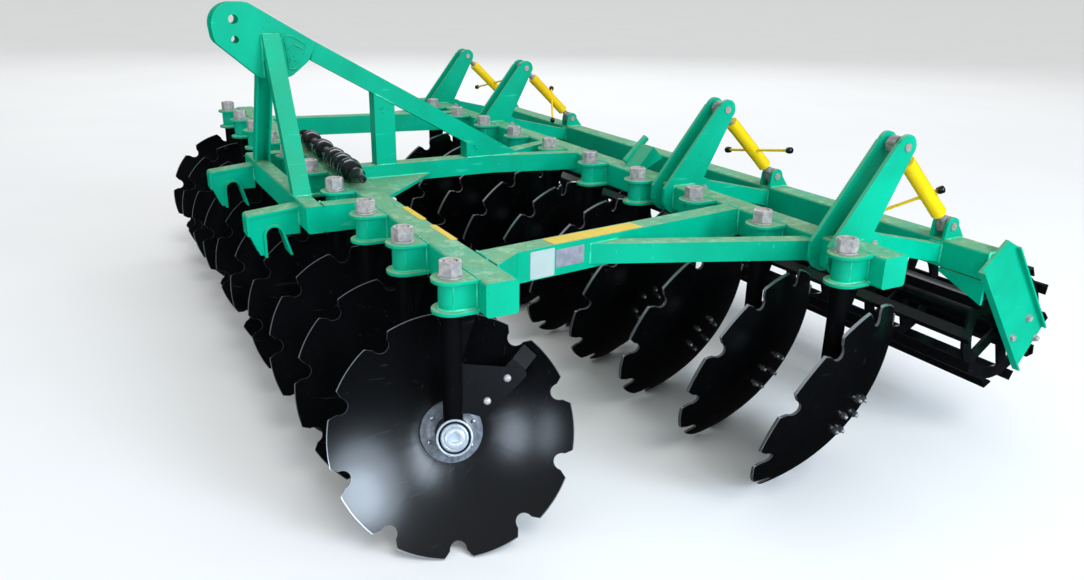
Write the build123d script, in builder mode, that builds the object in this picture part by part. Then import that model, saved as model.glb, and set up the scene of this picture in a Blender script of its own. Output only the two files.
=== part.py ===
from build123d import *
from math import atan2, cos, hypot, radians, sin, sqrt
import os

# A mounted disc harrow: a trapezoid frame with two rows of ten single discs, each on its own
# stand, a three-point mast in front and a depth roller hung behind on turnbuckles.
# X runs across the machine with the left side positive, -Y is the way it travels, Z is up.
# The floor that the discs stand on is Z = 0, and the middle of the machine is X = 0.

# Rows of discs
discs_per_row = 10
disc_spacing = 335.0
row_stagger = 282.0
row_gap = 1053.0
front_row_y = -860.0
disc_radius = 325.0
disc_dish = 85.0
disc_wall = 6.0
attack_angle = 18.0
camber_angle = 20.0
notch_count = 10
notch_depth = 42.0
notch_root_radius = 23.0
notch_mouth = 92.0

# Hub and bearing housing of a disc, along the disc's own axis from the plane of its rim
running_gap = 0.3
face_gap = 2.0
flange_radius = 80.0
flange_thick = 14.0
flange_land = 6.0
neck_radius = 36.0
shaft_radius = 20.0
shaft_reach = 45.0
housing_radius = 46.0
housing_back = 46.0
housing_front = 42.0
cap_radius = 36.5
cap_height = 13.0

# Stands
leg_length = 352.0
journal_radius = 22.0
leg_radius = 26.0
fin_reach = 42.0
fin_height = 130.0
fin_edge = 14.0
fin_thick = 14.0
stud_radius = 18.0
stud_recess = 4.0
nut_flats = 55.0
nut_height = 38.0
washer_radius = 32.0
washer_thick = 5.0

# Scraper of each disc, in the disc's own plane
scraper_angle = 45.0
scraper_thick = 8.0
scraper_width = 46.0
scraper_start = 85.0
scraper_bend = 250.0
scraper_tip = 302.0
scraper_tip_height = 4.0
bracket_base = 30.0
bracket_thick = 10.0
bracket_outline = ((0, 60), (39, 60), (83, 45), (205, 155), (176, 170), (21, 190), (0, 190))
bracket_corner = 12.0

# Sockets in front of each beam
socket_radius = 52.0
socket_plate = 10.0
socket_overhang = 15.0
journal_gap = 0.3

# Frame
beam_size = 90.0
beam_corner = 10.0
beam_setback = 55.0
beam_overhang = 90.0
side_width = 70.0
side_left_front = 1240.0
side_left_rear = 1110.0
side_right_front = 1293.0
side_right_rear = 1155.0
brace_height = 60.0
brace_top_drop = 18.0
brace_width = 50.0
brace_start = 345.0
brace_left_end = 1480.0
brace_right_end = 1495.0
corner_run = 95.0
corner_out = 62.0
tube_corner_run = 330.0
tube_corner_out = 365.0
tube_corner_drop = 47.0
tube_corner_thick = 12.0
tube_width = 70.0
tube_height = 70.0
fork_start = 600.0
fork_left_x = 90.0
fork_right_x = 175.0
fork_width = 50.0

# Hitch
cross_front = 135.0
cross_depth = 60.0
cross_drop = 15.0
connector_width = 60.0
connector_gap = 11.5
connector_disc = 3
link_spacing = 730.0
hook_width = 60.0
hook_wall = 10.0
hook_strip = 8.0
hook_lip = 7.0
hook_radius = 27.0
hook_drop = 108.0
hook_forward = 86.0
hook_leg = 74.0
hook_nose = 58.0
hook_root_drop = 20.0
hook_root_height = 93.0
hook_fall = 17.0
hook_chin = 67.0
hook_round = 12.0
hook_splay = 20.0
hook_tip = 14.0

# Mast
head_gap = 60.0
head_plate = 12.0
# Corners of a head plate round from the top front one, each from the upper bore, and its radius
head_corners = (
    (-83, 55, 75),
    (51, 55, 20),
    (276, -80, 6),
    (244, -146, 6),
    (180, -197, 40),
    (76, -200, 40),
    (-68, -72, 40),
)
mast_height = 1290.0
mast_forward = 223.0
upper_bore = 16.0
lower_bore = 12.75
bore_step = 67.0
leg_foot_x = 340.0
leg_head_x = 58.0
leg_head_z = 1240.0
mast_leg_width = 60.0
mast_leg_depth = 40.0
mast_leg_wall = 8.0
strut_depth = 65.0
strut_foot = 879.0
strut_top_back = 300.0
strut_top_drop = 92.0
strut_entry = 25.0
strut_cut = 20.0
post_place = 300.0
post_depth = 80.0
strut_heel = 493.0

# Arms on the rear beam
arm_places = (1538.0, 754.0, -806.0, -1538.0)
arm_gap = 58.0
arm_plate = 12.0
arm_top_radius = 36.0
arm_foot_radius = 68.0
arm_rise = 258.0
arm_lean = 217.0
pivot_back = 137.0
pivot_drop = 20.0
pin_radius = 12.5
pin_head = 4.0

# Roller frame
roller_beam_back = 382.0
roller_beam_drop = 53.0
roller_arm_width = 46.0
roller_arm_height = 56.0
lug_pin_rise = 40.0
lug_pin_inset = 32.0
lug_plate = 10.0
lug_radius = 28.0
end_plate_thick = 10.0
end_plate_x = 1724.0
end_flange = 24.0
end_flange_thick = 6.0
end_gusset_run = 160.0
end_gusset_drop = 75.0
end_gusset_edge = 12.0
end_bearing_radius = 50.0
end_bearing_depth = 20.0

# Turnbuckles
rod_radius = 12.0
eye_radius = 27.0
eye_width = 30.0
eye_clearance = 1.0
rod_grip = 60.0
rod_apart = 20.0
barrel_radius = 24.0
barrel_start = 78.0
barrel_end = 335.0
handle_place = 240.0
handle_reach = 145.0
handle_radius = 5.0
knob_radius = 12.0
# Each handle from the left: its turn about the barrel and how far it is slid through it
handle_turns = ((-33.0, -45.0), (-12.0, 25.0), (37.0, 50.0), (-20.0, 0.0))

# Rollers
roller_radius = 210.0
roller_axis_back = 612.0
roller_axis_z = 400.0
roller_end_x = 1690.0
roller_middle_gap = 70.0
roller_bars = 10
roller_bar_width = 34.0
roller_bar_thick = 6.0
roller_bar_end = 24.0
roller_shaft_radius = 30.0
spider_thick = 10.0
spider_count = 5
ring_width = 40.0
spoke_count = 5
spoke_width = 40.0
hanger_thick = 16.0
hanger_sleeve = 45.0
hanger_reach = 40.0
shaft_split = 5.0

# Small bracket on the rear beam, with a tube along its far side
bracket_place = 470.0
bracket_width = 80.0
bracket_plate = 8.0
bracket_rise = 38.0
bracket_reach = 64.0
bracket_depth = 46.0
bracket_tube_radius = 14.0
bracket_tube_length = 130.0

# Stowed cross shaft of the hitch
shaft_left = 430.0
shaft_right = -500.0
shaft_inset = 30.0
shaft_skew = 35.0
shaft_nose = 60.0
cross_shaft_radius = 22.0
cross_collar_radius = 34.0
cross_collar_length = 75.0
cross_collars = (120.0, 330.0, 520.0, 625.0, 730.0)

os.makedirs("parts", exist_ok=True)

# Places that follow from the sizes above
hub_height = disc_radius * cos(radians(camber_angle))
beam_bottom = hub_height + leg_length
beam_top = beam_bottom + beam_size
row_reach = disc_spacing * (discs_per_row - 1) / 2
rear_row_y = front_row_y + row_gap
stud_top = beam_top + washer_thick + nut_height - stud_recess
front_face = front_row_y + beam_setback
front_back = front_face + beam_size
rear_face = rear_row_y + beam_setback
rear_back = rear_face + beam_size

# Each row: name, its y, the x of its middle, and the side that its discs' hollow faces look to
rows = (
    ("front", front_row_y, -row_stagger / 2, 1),
    ("rear", rear_row_y, row_stagger / 2, -1),
)
outer_end = row_stagger / 2 + row_reach + beam_overhang
inner_end = outer_end - row_stagger
# Each beam: name, the y of its front face, its right end and its left end
beams = (
    ("front_beam", front_face, -outer_end, inner_end),
    ("rear_beam", rear_face, -outer_end, outer_end),
)


def keep(name, *shapes):
    piece = shapes[0] if len(shapes) == 1 else Compound(children=list(shapes))
    piece.label = name
    export_step(piece, "parts/" + name + ".step")


def row_places(middle, y):
    first = middle + row_reach
    return [(first - disc_spacing * index, y) for index in range(discs_per_row)]


def disc_plane(side, x=0.0, y=0.0):
    level = cos(radians(camber_angle))
    axis = Vector(
        side * cos(radians(attack_angle)) * level,
        -sin(radians(attack_angle)) * level,
        sin(radians(camber_angle)),
    )
    return Plane(origin=(x, y, hub_height), x_dir=(-axis.Y, axis.X, 0), z_dir=axis)


def copies(shape, places):
    return [shape.moved(Location((x, y, 0))) for x, y in places]


# Blade of a disc with its hub flange, neck and stub shaft, about the local Z axis
sphere_radius = (disc_radius**2 + disc_dish**2) / (2 * disc_dish)
sphere_centre = sphere_radius - disc_dish
inner_radius = sphere_radius - disc_wall
flat_radius = flange_radius + flange_land
flat_depth = sphere_centre - sqrt(sphere_radius**2 - flat_radius**2)
inner_flat = flat_depth + disc_wall
inner_flat_radius = sqrt(inner_radius**2 - (sphere_centre - inner_flat) ** 2)
inner_rim = sphere_centre - sqrt(inner_radius**2 - disc_radius**2)
flange_front = inner_flat + flange_thick
neck_front = -housing_back - face_gap
shaft_end = -housing_back + shaft_reach
notch_edge = disc_radius + disc_wall
notch_root = disc_radius - notch_depth + notch_root_radius

with BuildPart() as disc:
    with BuildSketch(Plane.XZ):
        with BuildLine():
            Line((0, flat_depth), (flat_radius, flat_depth))
            ThreePointArc(
                (flat_radius, flat_depth),
                (disc_radius * 0.7, sphere_centre - sqrt(sphere_radius**2 - (disc_radius * 0.7) ** 2)),
                (disc_radius, 0),
            )
            Line((disc_radius, 0), (disc_radius, inner_rim))
            ThreePointArc(
                (disc_radius, inner_rim),
                (disc_radius * 0.7, sphere_centre - sqrt(inner_radius**2 - (disc_radius * 0.7) ** 2)),
                (inner_flat_radius, inner_flat),
            )
            Polyline(
                (inner_flat_radius, inner_flat),
                (flange_radius, inner_flat),
                (flange_radius, flange_front),
                (neck_radius, flange_front),
                (neck_radius, neck_front),
                (shaft_radius, neck_front),
                (shaft_radius, shaft_end),
                (0, shaft_end),
                (0, flat_depth),
            )
        make_face()
    revolve(axis=Axis.Z)
    with BuildSketch(Plane.XY.offset(-disc_dish)):
        with BuildLine():
            Polyline(
                (notch_root, -notch_root_radius),
                (notch_edge, -notch_mouth / 2),
                (notch_edge, notch_mouth / 2),
                (notch_root, notch_root_radius),
            )
            ThreePointArc(
                (notch_root, notch_root_radius),
                (notch_root - notch_root_radius, 0),
                (notch_root, -notch_root_radius),
            )
        make_face()
    notch = extrude(amount=disc_dish + inner_rim + disc_wall, mode=Mode.PRIVATE)
    with PolarLocations(0, notch_count):
        add(notch, mode=Mode.SUBTRACT)

# How far each disc along a row has rolled, in degrees from a notch straight down
notch_turns = (0, 7, 16, 25, 4, 30, 12, 20, 33, 9)
for row, row_y, middle, side in rows:
    for index, place in enumerate(row_places(middle, row_y)):
        turned = disc.part.rotate(Axis.Z, notch_turns[index] - 90)
        keep("disc_%s_%d" % (row, index + 1), turned.moved(disc_plane(side, *place).location))


# Stand of a disc: journal and stud, leg with its rear fin, bearing housing and scraper bracket
def make_stand(side):
    plane = disc_plane(side)
    with BuildPart() as stand:
        with BuildSketch(Plane.XZ):
            with BuildLine():
                Polyline(
                    (0, hub_height),
                    (leg_radius, hub_height),
                    (leg_radius, beam_bottom),
                    (journal_radius, beam_bottom),
                    (journal_radius, beam_top),
                    (stud_radius, beam_top),
                    (stud_radius, stud_top),
                    (0, stud_top),
                    close=True,
                )
            make_face()
        revolve(axis=Axis.Z)
        with BuildSketch(Plane.YZ):
            with BuildLine():
                Polyline(
                    (0, beam_bottom),
                    (leg_radius + fin_reach, beam_bottom),
                    (leg_radius + fin_reach, beam_bottom - fin_edge),
                    (leg_radius, beam_bottom - fin_height),
                    (0, beam_bottom - fin_height),
                    close=True,
                )
            make_face()
        extrude(amount=fin_thick / 2, both=True)
        with BuildSketch(plane.offset(-housing_back)):
            Circle(housing_radius)
        extrude(amount=housing_back + housing_front)
        with BuildSketch(plane.offset(bracket_base)) as bracket:
            with BuildLine():
                Polyline(*[(side * x, y) for x, y in bracket_outline], close=True)
            make_face()
            fillet(bracket.vertices().group_by(SortBy.DISTANCE)[-1], bracket_corner)
        extrude(amount=bracket_thick)
        with BuildSketch(plane.offset(-housing_back)):
            Circle(shaft_radius + running_gap)
        extrude(amount=shaft_reach + face_gap, mode=Mode.SUBTRACT)
    return stand.part


# Silver cap on the front of a bearing housing
def make_cap(side):
    plane = disc_plane(side)
    with BuildPart() as cap:
        with BuildSketch(plane.offset(housing_front)):
            Circle(cap_radius)
        extrude(amount=cap_height)
        fillet(cap.edges().sort_by(Axis(plane.origin, plane.z_dir))[-1], cap_height * 0.6)
    return cap.part


# Scraper: a flat bar under the bracket, bent down to the blade near its rim
def make_scraper(side):
    turn = scraper_angle if side > 0 else 180 - scraper_angle
    plane = disc_plane(side)
    across = Plane(
        origin=plane.origin,
        x_dir=plane.x_dir * cos(radians(turn)) + plane.y_dir * sin(radians(turn)),
        z_dir=(plane.x_dir * sin(radians(turn)) - plane.y_dir * cos(radians(turn))),
    )
    with BuildPart() as scraper:
        with BuildSketch(across):
            with BuildLine():
                Polyline(
                    (scraper_start, bracket_base - scraper_thick),
                    (scraper_bend, bracket_base - scraper_thick),
                    (scraper_tip, scraper_tip_height),
                    (scraper_tip, scraper_tip_height + scraper_thick),
                    (scraper_bend + 4, bracket_base),
                    (scraper_start, bracket_base),
                    close=True,
                )
            make_face()
        extrude(amount=scraper_width / 2, both=True)
    return scraper.part


for row, row_y, middle, side in rows:
    places = row_places(middle, row_y)
    keep("stands_" + row, *copies(make_stand(side), places))
    keep("hub_caps_" + row, *copies(make_cap(side), places))
    keep("scrapers_" + row, *copies(make_scraper(side), places))

    # Sockets: a bent wall between two rounded plates, welded to the front of the beam
    with BuildPart() as sockets:
        for level, thick, size in (
            (beam_bottom, socket_plate, socket_radius + socket_overhang),
            (beam_bottom + socket_plate, beam_size - 2 * socket_plate, socket_radius),
            (beam_top - socket_plate, socket_plate, socket_radius + socket_overhang),
        ):
            with BuildSketch(Plane.XY.offset(level)):
                with Locations(*places):
                    Circle(size)
                    with Locations((0, beam_setback / 2)):
                        Rectangle(2 * size, beam_setback)
                with Locations(*[(x, y + beam_setback + size) for x, y in places]):
                    Rectangle(2 * size, 2 * size, mode=Mode.SUBTRACT)
            extrude(amount=thick)
        with BuildSketch(Plane.XY.offset(beam_bottom)):
            with Locations(*places):
                Circle(journal_radius + journal_gap)
        extrude(amount=beam_size, mode=Mode.SUBTRACT)
    keep("sockets_" + row, sockets.part)

    # Hexagon nuts and washers that clamp the stands
    with BuildPart() as nuts:
        with BuildSketch(Plane.XY.offset(beam_top)):
            with Locations(*places):
                Circle(washer_radius)
                Circle(stud_radius, mode=Mode.SUBTRACT)
        extrude(amount=washer_thick)
        with BuildSketch(Plane.XY.offset(beam_top + washer_thick)):
            with Locations(*places):
                RegularPolygon(nut_flats / 2, 6, major_radius=False)
                Circle(stud_radius, mode=Mode.SUBTRACT)
        extrude(amount=nut_height)
    keep("stand_nuts_" + row, nuts.part)

# Square beams across the machine
for beam_name, face_y, right_end, left_end in beams:
    with BuildPart() as beam:
        with BuildSketch(Plane.YZ.offset(right_end)):
            with Locations((face_y + beam_size / 2, beam_bottom + beam_size / 2)):
                RectangleRounded(beam_size, beam_size, beam_corner)
        extrude(amount=left_end - right_end)
    keep(beam_name, beam.part)

# Side beams, converging to the rear, with a box gusset in each front corner outside
# Each side: sign of x, the beam's middle in front and behind, and the brace's outer end
sides = (
    (1, side_left_front, side_left_rear, brace_left_end),
    (-1, side_right_front, side_right_rear, brace_right_end),
)
with BuildPart() as side_beams:
    with BuildSketch(Plane.XY.offset(beam_bottom)):
        for sign, front_x, rear_x, brace_x in sides:
            slope = (rear_x - front_x) / (rear_face - front_back)
            outside = front_x + side_width / 2
            with BuildLine():
                Polyline(
                    (sign * (front_x - side_width / 2), front_back),
                    (sign * (outside + corner_out), front_back),
                    (sign * (outside + slope * corner_run), front_back + corner_run),
                    (sign * (rear_x + side_width / 2), rear_face),
                    (sign * (rear_x - side_width / 2), rear_face),
                    close=True,
                )
            make_face()
    extrude(amount=beam_size)
keep("side_beams", side_beams.part)

# Braces that leave the side beams outwards and end on the rear beam
with BuildPart() as braces:
    with BuildSketch(Plane.XY.offset(beam_top - brace_top_drop - brace_height)):
        for sign, front_x, rear_x, brace_x in sides:
            slope = (rear_x - front_x) / (rear_face - front_back)
            brace_front_y = front_back + brace_start
            brace_front_x = front_x + side_width / 2 + slope * brace_start
            lean = (brace_x - brace_front_x) / (rear_face - brace_front_y)
            brace_step = brace_width * hypot(1, lean)
            brace_join = brace_step / (lean - slope)
            with BuildLine():
                Polyline(
                    (sign * brace_front_x, brace_front_y),
                    (sign * brace_x, rear_face),
                    (sign * (brace_x - brace_step), rear_face),
                    (sign * (brace_front_x + slope * brace_join), brace_front_y + brace_join),
                    close=True,
                )
            make_face()
    extrude(amount=brace_height)
keep("diagonal_braces", braces.part)

# Centre tube, with a gusset plate in each corner on the front beam and a fork at the rear
tube_end = front_back + fork_start
with BuildPart() as centre_tube:
    with BuildSketch(Plane.XY.offset(beam_top - tube_height)):
        with Locations((0, (front_back + tube_end) / 2)):
            Rectangle(tube_width, fork_start)
    extrude(amount=tube_height)
    with BuildSketch(Plane.XY.offset(beam_top - tube_corner_drop - tube_corner_thick)):
        with BuildLine():
            Polyline(
                (-tube_width / 2 - tube_corner_out, front_back),
                (tube_width / 2 + tube_corner_out, front_back),
                (tube_width / 2, front_back + tube_corner_run),
                (-tube_width / 2, front_back + tube_corner_run),
                close=True,
            )
        make_face()
    extrude(amount=tube_corner_thick)
keep("centre_tube", centre_tube.part)

fork_prongs = []
for sign, end_x in ((1, fork_left_x), (-1, fork_right_x)):
    with BuildPart() as prong:
        with BuildSketch(Plane.XY.offset(beam_top - tube_height)):
            with BuildLine():
                Polyline(
                    (0, tube_end),
                    (sign * tube_width / 2, tube_end),
                    (sign * (end_x + fork_width / 2), rear_face),
                    (sign * (end_x - fork_width / 2), rear_face),
                    (0, tube_end + fork_width * 2),
                    close=True,
                )
            make_face()
        extrude(amount=tube_height)
    fork_prongs.append(prong.part)
with BuildPart() as centre_fork:
    add(fork_prongs)
keep("centre_fork", centre_fork.part)

# Bracket on the rear beam: two side plates under an inclined web, and a tube beside them
incline = hypot(bracket_reach, bracket_rise)
web_y = bracket_plate * bracket_rise / incline
web_z = bracket_plate * bracket_reach / incline
bracket_low = (rear_back - beam_corner - bracket_depth, beam_top)
bracket_high = (rear_back + bracket_reach - bracket_depth, beam_top + bracket_rise + bracket_depth)
bracket_sides = (
    bracket_low,
    (rear_back - beam_corner, beam_top),
    (rear_back + bracket_reach, beam_top + bracket_rise),
    bracket_high,
)
with BuildPart() as rear_bracket:
    for offset in (-bracket_width / 2, bracket_width / 2 - bracket_plate):
        with BuildSketch(Plane.YZ.offset(bracket_place + offset)):
            with BuildLine():
                Polyline(*bracket_sides, close=True)
            make_face()
        extrude(amount=bracket_plate)
    with BuildSketch(Plane.YZ.offset(bracket_place - bracket_width / 2)):
        with BuildLine():
            Polyline(
                bracket_low,
                bracket_high,
                (bracket_high[0] + web_y, bracket_high[1] - web_z),
                (bracket_low[0] + 2 * bracket_plate, bracket_low[1]),
                close=True,
            )
        make_face()
    extrude(amount=bracket_width)
    tube_plane = Plane(
        origin=(
            bracket_place - bracket_width / 2 - bracket_tube_radius + 1,
            bracket_low[0] + bracket_plate,
            beam_top + bracket_tube_radius,
        ),
        z_dir=(0, bracket_reach, bracket_rise + bracket_depth / 2),
    )
    with BuildSketch(tube_plane):
        Circle(bracket_tube_radius)
    extrude(amount=bracket_tube_length)
keep("rear_bracket", rear_bracket.part)

# Hitch cross beam in front of the middle sockets, and the connectors back to the front beam
# that clear the socket of one of the left discs
connector_x = row_reach - row_stagger / 2 - connector_disc * disc_spacing
connector_inner = connector_x + socket_radius + socket_overhang + connector_gap
cross_half_length = connector_inner + connector_width
cross_y = front_row_y - cross_front
cross_top = beam_top - cross_drop
with BuildPart() as cross_beam:
    with BuildSketch(Plane.YZ.offset(-cross_half_length)):
        with Locations((cross_y + cross_depth / 2, cross_top - beam_size / 2)):
            RectangleRounded(cross_depth, beam_size, beam_corner)
    extrude(amount=2 * cross_half_length)
keep("hitch_beam", cross_beam.part)

connector_length = front_face - cross_y - cross_depth
with BuildPart() as connectors:
    with BuildSketch(Plane.XY.offset(cross_top - beam_size)):
        with Locations(
            (connector_inner + connector_width / 2, front_face - connector_length / 2),
            (-connector_inner - connector_width / 2, front_face - connector_length / 2),
        ):
            Rectangle(connector_width, connector_length)
    extrude(amount=beam_size)
keep("hitch_connectors", connectors.part)

# Lower link hooks: two plates with a notch, a strip bent round the notch and one over the nose
notch_y = cross_y - hook_forward
notch_z = cross_top - hook_drop
nose_y = notch_y - hook_radius - hook_nose
root_top = cross_top - hook_root_drop
root_low = root_top - hook_root_height
nose_top = root_top - hook_fall
nose_low = nose_top - hook_chin
hook_low = notch_z - hook_leg
strip_radius = hook_radius + hook_strip
with BuildPart() as hooks:
    for middle in (link_spacing / 2, -link_spacing / 2):
        for offset in (hook_width / 2 - hook_wall, -hook_width / 2):
            with BuildSketch(Plane.YZ.offset(middle + offset)):
                with BuildLine():
                    Polyline(
                        (notch_y + strip_radius, notch_z),
                        (notch_y + strip_radius, root_low),
                        (cross_y, root_low),
                        (cross_y, root_top - hook_strip),
                        (nose_y + hook_strip, nose_top - hook_strip),
                        (nose_y + hook_strip, nose_low),
                        (notch_y - strip_radius - hook_tip, hook_low + hook_strip),
                        (notch_y - strip_radius, hook_low + hook_strip),
                        (notch_y - strip_radius, notch_z),
                    )
                    ThreePointArc(
                        (notch_y - strip_radius, notch_z),
                        (notch_y, notch_z + strip_radius),
                        (notch_y + strip_radius, notch_z),
                    )
                make_face()
            extrude(amount=hook_wall)
        with BuildSketch(Plane.YZ.offset(middle - hook_width / 2 - hook_lip)):
            with BuildLine():
                Polyline(
                    (notch_y + strip_radius, notch_z),
                    (notch_y + strip_radius + hook_splay, hook_low),
                    (notch_y + hook_radius + hook_splay, hook_low),
                    (notch_y + hook_radius, notch_z),
                )
                ThreePointArc(
                    (notch_y + hook_radius, notch_z),
                    (notch_y, notch_z + hook_radius),
                    (notch_y - hook_radius, notch_z),
                )
                Polyline(
                    (notch_y - hook_radius, notch_z),
                    (notch_y - hook_radius, hook_low),
                    (notch_y - strip_radius, hook_low),
                    (notch_y - strip_radius, notch_z),
                )
                ThreePointArc(
                    (notch_y - strip_radius, notch_z),
                    (notch_y, notch_z + strip_radius),
                    (notch_y + strip_radius, notch_z),
                )
            make_face()
        extrude(amount=hook_width + 2 * hook_lip)
        with BuildSketch(Plane.YZ.offset(middle - hook_width / 2 - hook_lip)) as nose:
            with BuildLine():
                Polyline(
                    (cross_y, root_top),
                    (nose_y, nose_top),
                    (nose_y, nose_low),
                    (nose_y + hook_strip, nose_low),
                    (nose_y + hook_strip, nose_top - hook_strip),
                    (cross_y, root_top - hook_strip),
                    close=True,
                )
            make_face()
            fillet(nose.vertices().group_by(Axis.X)[0].sort_by(Axis.Y)[-1], hook_round)
        extrude(amount=hook_width + 2 * hook_lip)
keep("lower_link_hooks", hooks.part)

# Mast head plates with their two rows of upper link bores
head_y = front_row_y - mast_forward
lower_bore_z = mast_height - bore_step
with BuildPart() as head_plates:
    for offset in (head_gap / 2, -head_gap / 2 - head_plate):
        with BuildSketch(Plane.YZ.offset(offset)) as outline:
            with BuildLine():
                Polyline(*[(head_y + y, mast_height + z) for y, z, radius in head_corners], close=True)
            make_face()
            for y, z, radius in head_corners:
                corner = Vector(head_y + y, mast_height + z)
                fillet(outline.vertices().sort_by_distance(corner)[0], radius)
            with Locations((head_y, mast_height)):
                Circle(upper_bore, mode=Mode.SUBTRACT)
            with Locations((head_y, lower_bore_z)):
                Circle(lower_bore, mode=Mode.SUBTRACT)
        extrude(amount=head_plate)
keep("mast_head", head_plates.part)

# Mast legs: channels from the hitch beam up to the head plates, open to the inside
head_side = head_gap / 2 + head_plate
leg_slope = (leg_foot_x - leg_head_x) / (leg_head_z - cross_top)
leg_step = mast_leg_depth * hypot(1, leg_slope)
web_step = mast_leg_wall * hypot(1, leg_slope)
leg_y = cross_y + cross_depth / 2
with BuildPart() as mast_legs:
    for sign in (1, -1):
        with BuildSketch(Plane.XZ.offset(-leg_y)):
            with BuildLine():
                Polyline(
                    (sign * leg_foot_x, cross_top),
                    (sign * (leg_foot_x - leg_step), cross_top),
                    (sign * head_side, cross_top + (leg_foot_x - leg_step - head_side) / leg_slope),
                    (sign * head_side, leg_head_z),
                    (sign * leg_head_x, leg_head_z),
                    close=True,
                )
            make_face()
        extrude(amount=mast_leg_width / 2, both=True)
        with BuildSketch(Plane.XZ.offset(-leg_y)):
            with BuildLine():
                Polyline(
                    (sign * (leg_foot_x - web_step), cross_top),
                    (sign * head_side, cross_top),
                    (sign * head_side, cross_top + (leg_foot_x - web_step - head_side) / leg_slope),
                    close=True,
                )
            make_face()
        extrude(amount=mast_leg_width / 2 - mast_leg_wall, both=True, mode=Mode.SUBTRACT)
keep("mast_legs", mast_legs.part)

# Mast strut back to the centre tube, and the post under it
strut_top = (head_y + strut_top_back, mast_height - strut_top_drop)
strut_end = (front_row_y + strut_foot, beam_top)
strut_lean = (strut_top[1] - strut_end[1]) / (strut_end[0] - strut_top[0])
strut_drop = strut_depth * hypot(1, strut_lean)
strut_run = strut_drop / strut_lean
strut_start = strut_top[0] - strut_entry
strut_start_z = strut_top[1] + strut_entry * strut_lean


def strut_under(y):
    return strut_top[1] - strut_drop - (y - strut_top[0]) * strut_lean


with BuildPart() as strut:
    with BuildSketch(Plane.YZ.offset(-head_gap / 2)):
        with BuildLine():
            Polyline(
                (strut_start, strut_start_z),
                strut_end,
                (strut_end[0] - strut_run, beam_top),
                (strut_start - strut_cut, strut_start_z + strut_cut * strut_lean - strut_drop),
                close=True,
            )
        make_face()
        with BuildLine():
            Polyline(
                (front_back + strut_heel, beam_top),
                (front_back + strut_heel, strut_under(front_back + strut_heel)),
                (strut_end[0] - strut_run, beam_top),
                close=True,
            )
        make_face()
    extrude(amount=head_gap)
keep("mast_strut", strut.part)

post_front = front_row_y + post_place - post_depth / 2
post_back = post_front + post_depth
with BuildPart() as post:
    with BuildSketch(Plane.YZ.offset(-head_gap / 2)):
        with BuildLine():
            Polyline(
                (post_front, beam_top),
                (post_back, beam_top),
                (post_back, strut_under(post_back)),
                (post_front, strut_under(post_front)),
                close=True,
            )
        make_face()
    extrude(amount=head_gap)
keep("mast_post", post.part)

# Arms on the rear beam: pairs of plates that wrap the beam, with the roller's pivot behind it
arm_pin = (rear_face + arm_lean, beam_top + arm_rise)
pivot = (rear_face + pivot_back, beam_top - pivot_drop)
foot = (rear_face + 27, beam_top - 38)
beam_middle = (rear_face + beam_size / 2, beam_bottom + beam_size / 2)
with BuildPart() as arm_plates:
    for place in arm_places:
        for offset in (arm_gap / 2, -arm_gap / 2 - arm_plate):
            with BuildSketch(Plane.YZ.offset(place + offset)):
                with BuildLine():
                    Polyline(
                        (foot[0] - arm_foot_radius, foot[1] + 30),
                        (arm_pin[0] - arm_top_radius - 2, arm_pin[1] + 14),
                        (arm_pin[0] + arm_top_radius, arm_pin[1] - 6),
                        (pivot[0] - 8, pivot[1] + 34),
                        (pivot[0] - 8, pivot[1] - 34),
                        (rear_back + 6, beam_bottom - 14),
                        (rear_face + 10, beam_bottom - 14),
                        (foot[0] - arm_foot_radius, foot[1] - 20),
                        close=True,
                    )
                make_face()
                with Locations(arm_pin):
                    Circle(arm_top_radius)
                with Locations(foot):
                    Circle(arm_foot_radius)
                with Locations(pivot):
                    Circle(arm_top_radius)
                with Locations(beam_middle):
                    RectangleRounded(beam_size, beam_size, beam_corner, mode=Mode.SUBTRACT)
                with Locations(arm_pin, pivot):
                    Circle(pin_radius, mode=Mode.SUBTRACT)
            extrude(amount=arm_plate)
keep("arm_plates", arm_plates.part)

pin_length = arm_gap + 2 * arm_plate + 2 * pin_head


def cross_pins(y, z, radius, length):
    with BuildPart() as pins:
        for place in arm_places:
            with BuildSketch(Plane.YZ.offset(place - length / 2)):
                with Locations((y, z)):
                    Circle(radius)
            extrude(amount=length)
    return pins.part


keep("arm_pins", cross_pins(*arm_pin, pin_radius, pin_length), cross_pins(*pivot, pin_radius, pin_length))

# Roller frame: beam, arms to the pivots, lugs and end plates
roller_face = rear_back + roller_beam_back
roller_top = beam_top - roller_beam_drop
lug_pin = (roller_face + lug_pin_inset, roller_top + lug_pin_rise)
roller_axis = (rear_back + roller_axis_back, roller_axis_z)
with BuildPart() as roller_beam:
    with BuildSketch(Plane.YZ.offset(-end_plate_x)):
        with Locations((roller_face + beam_size / 2, roller_top - beam_size / 2)):
            RectangleRounded(beam_size, beam_size, beam_corner)
    extrude(amount=2 * end_plate_x)
keep("roller_beam", roller_beam.part)

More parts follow.
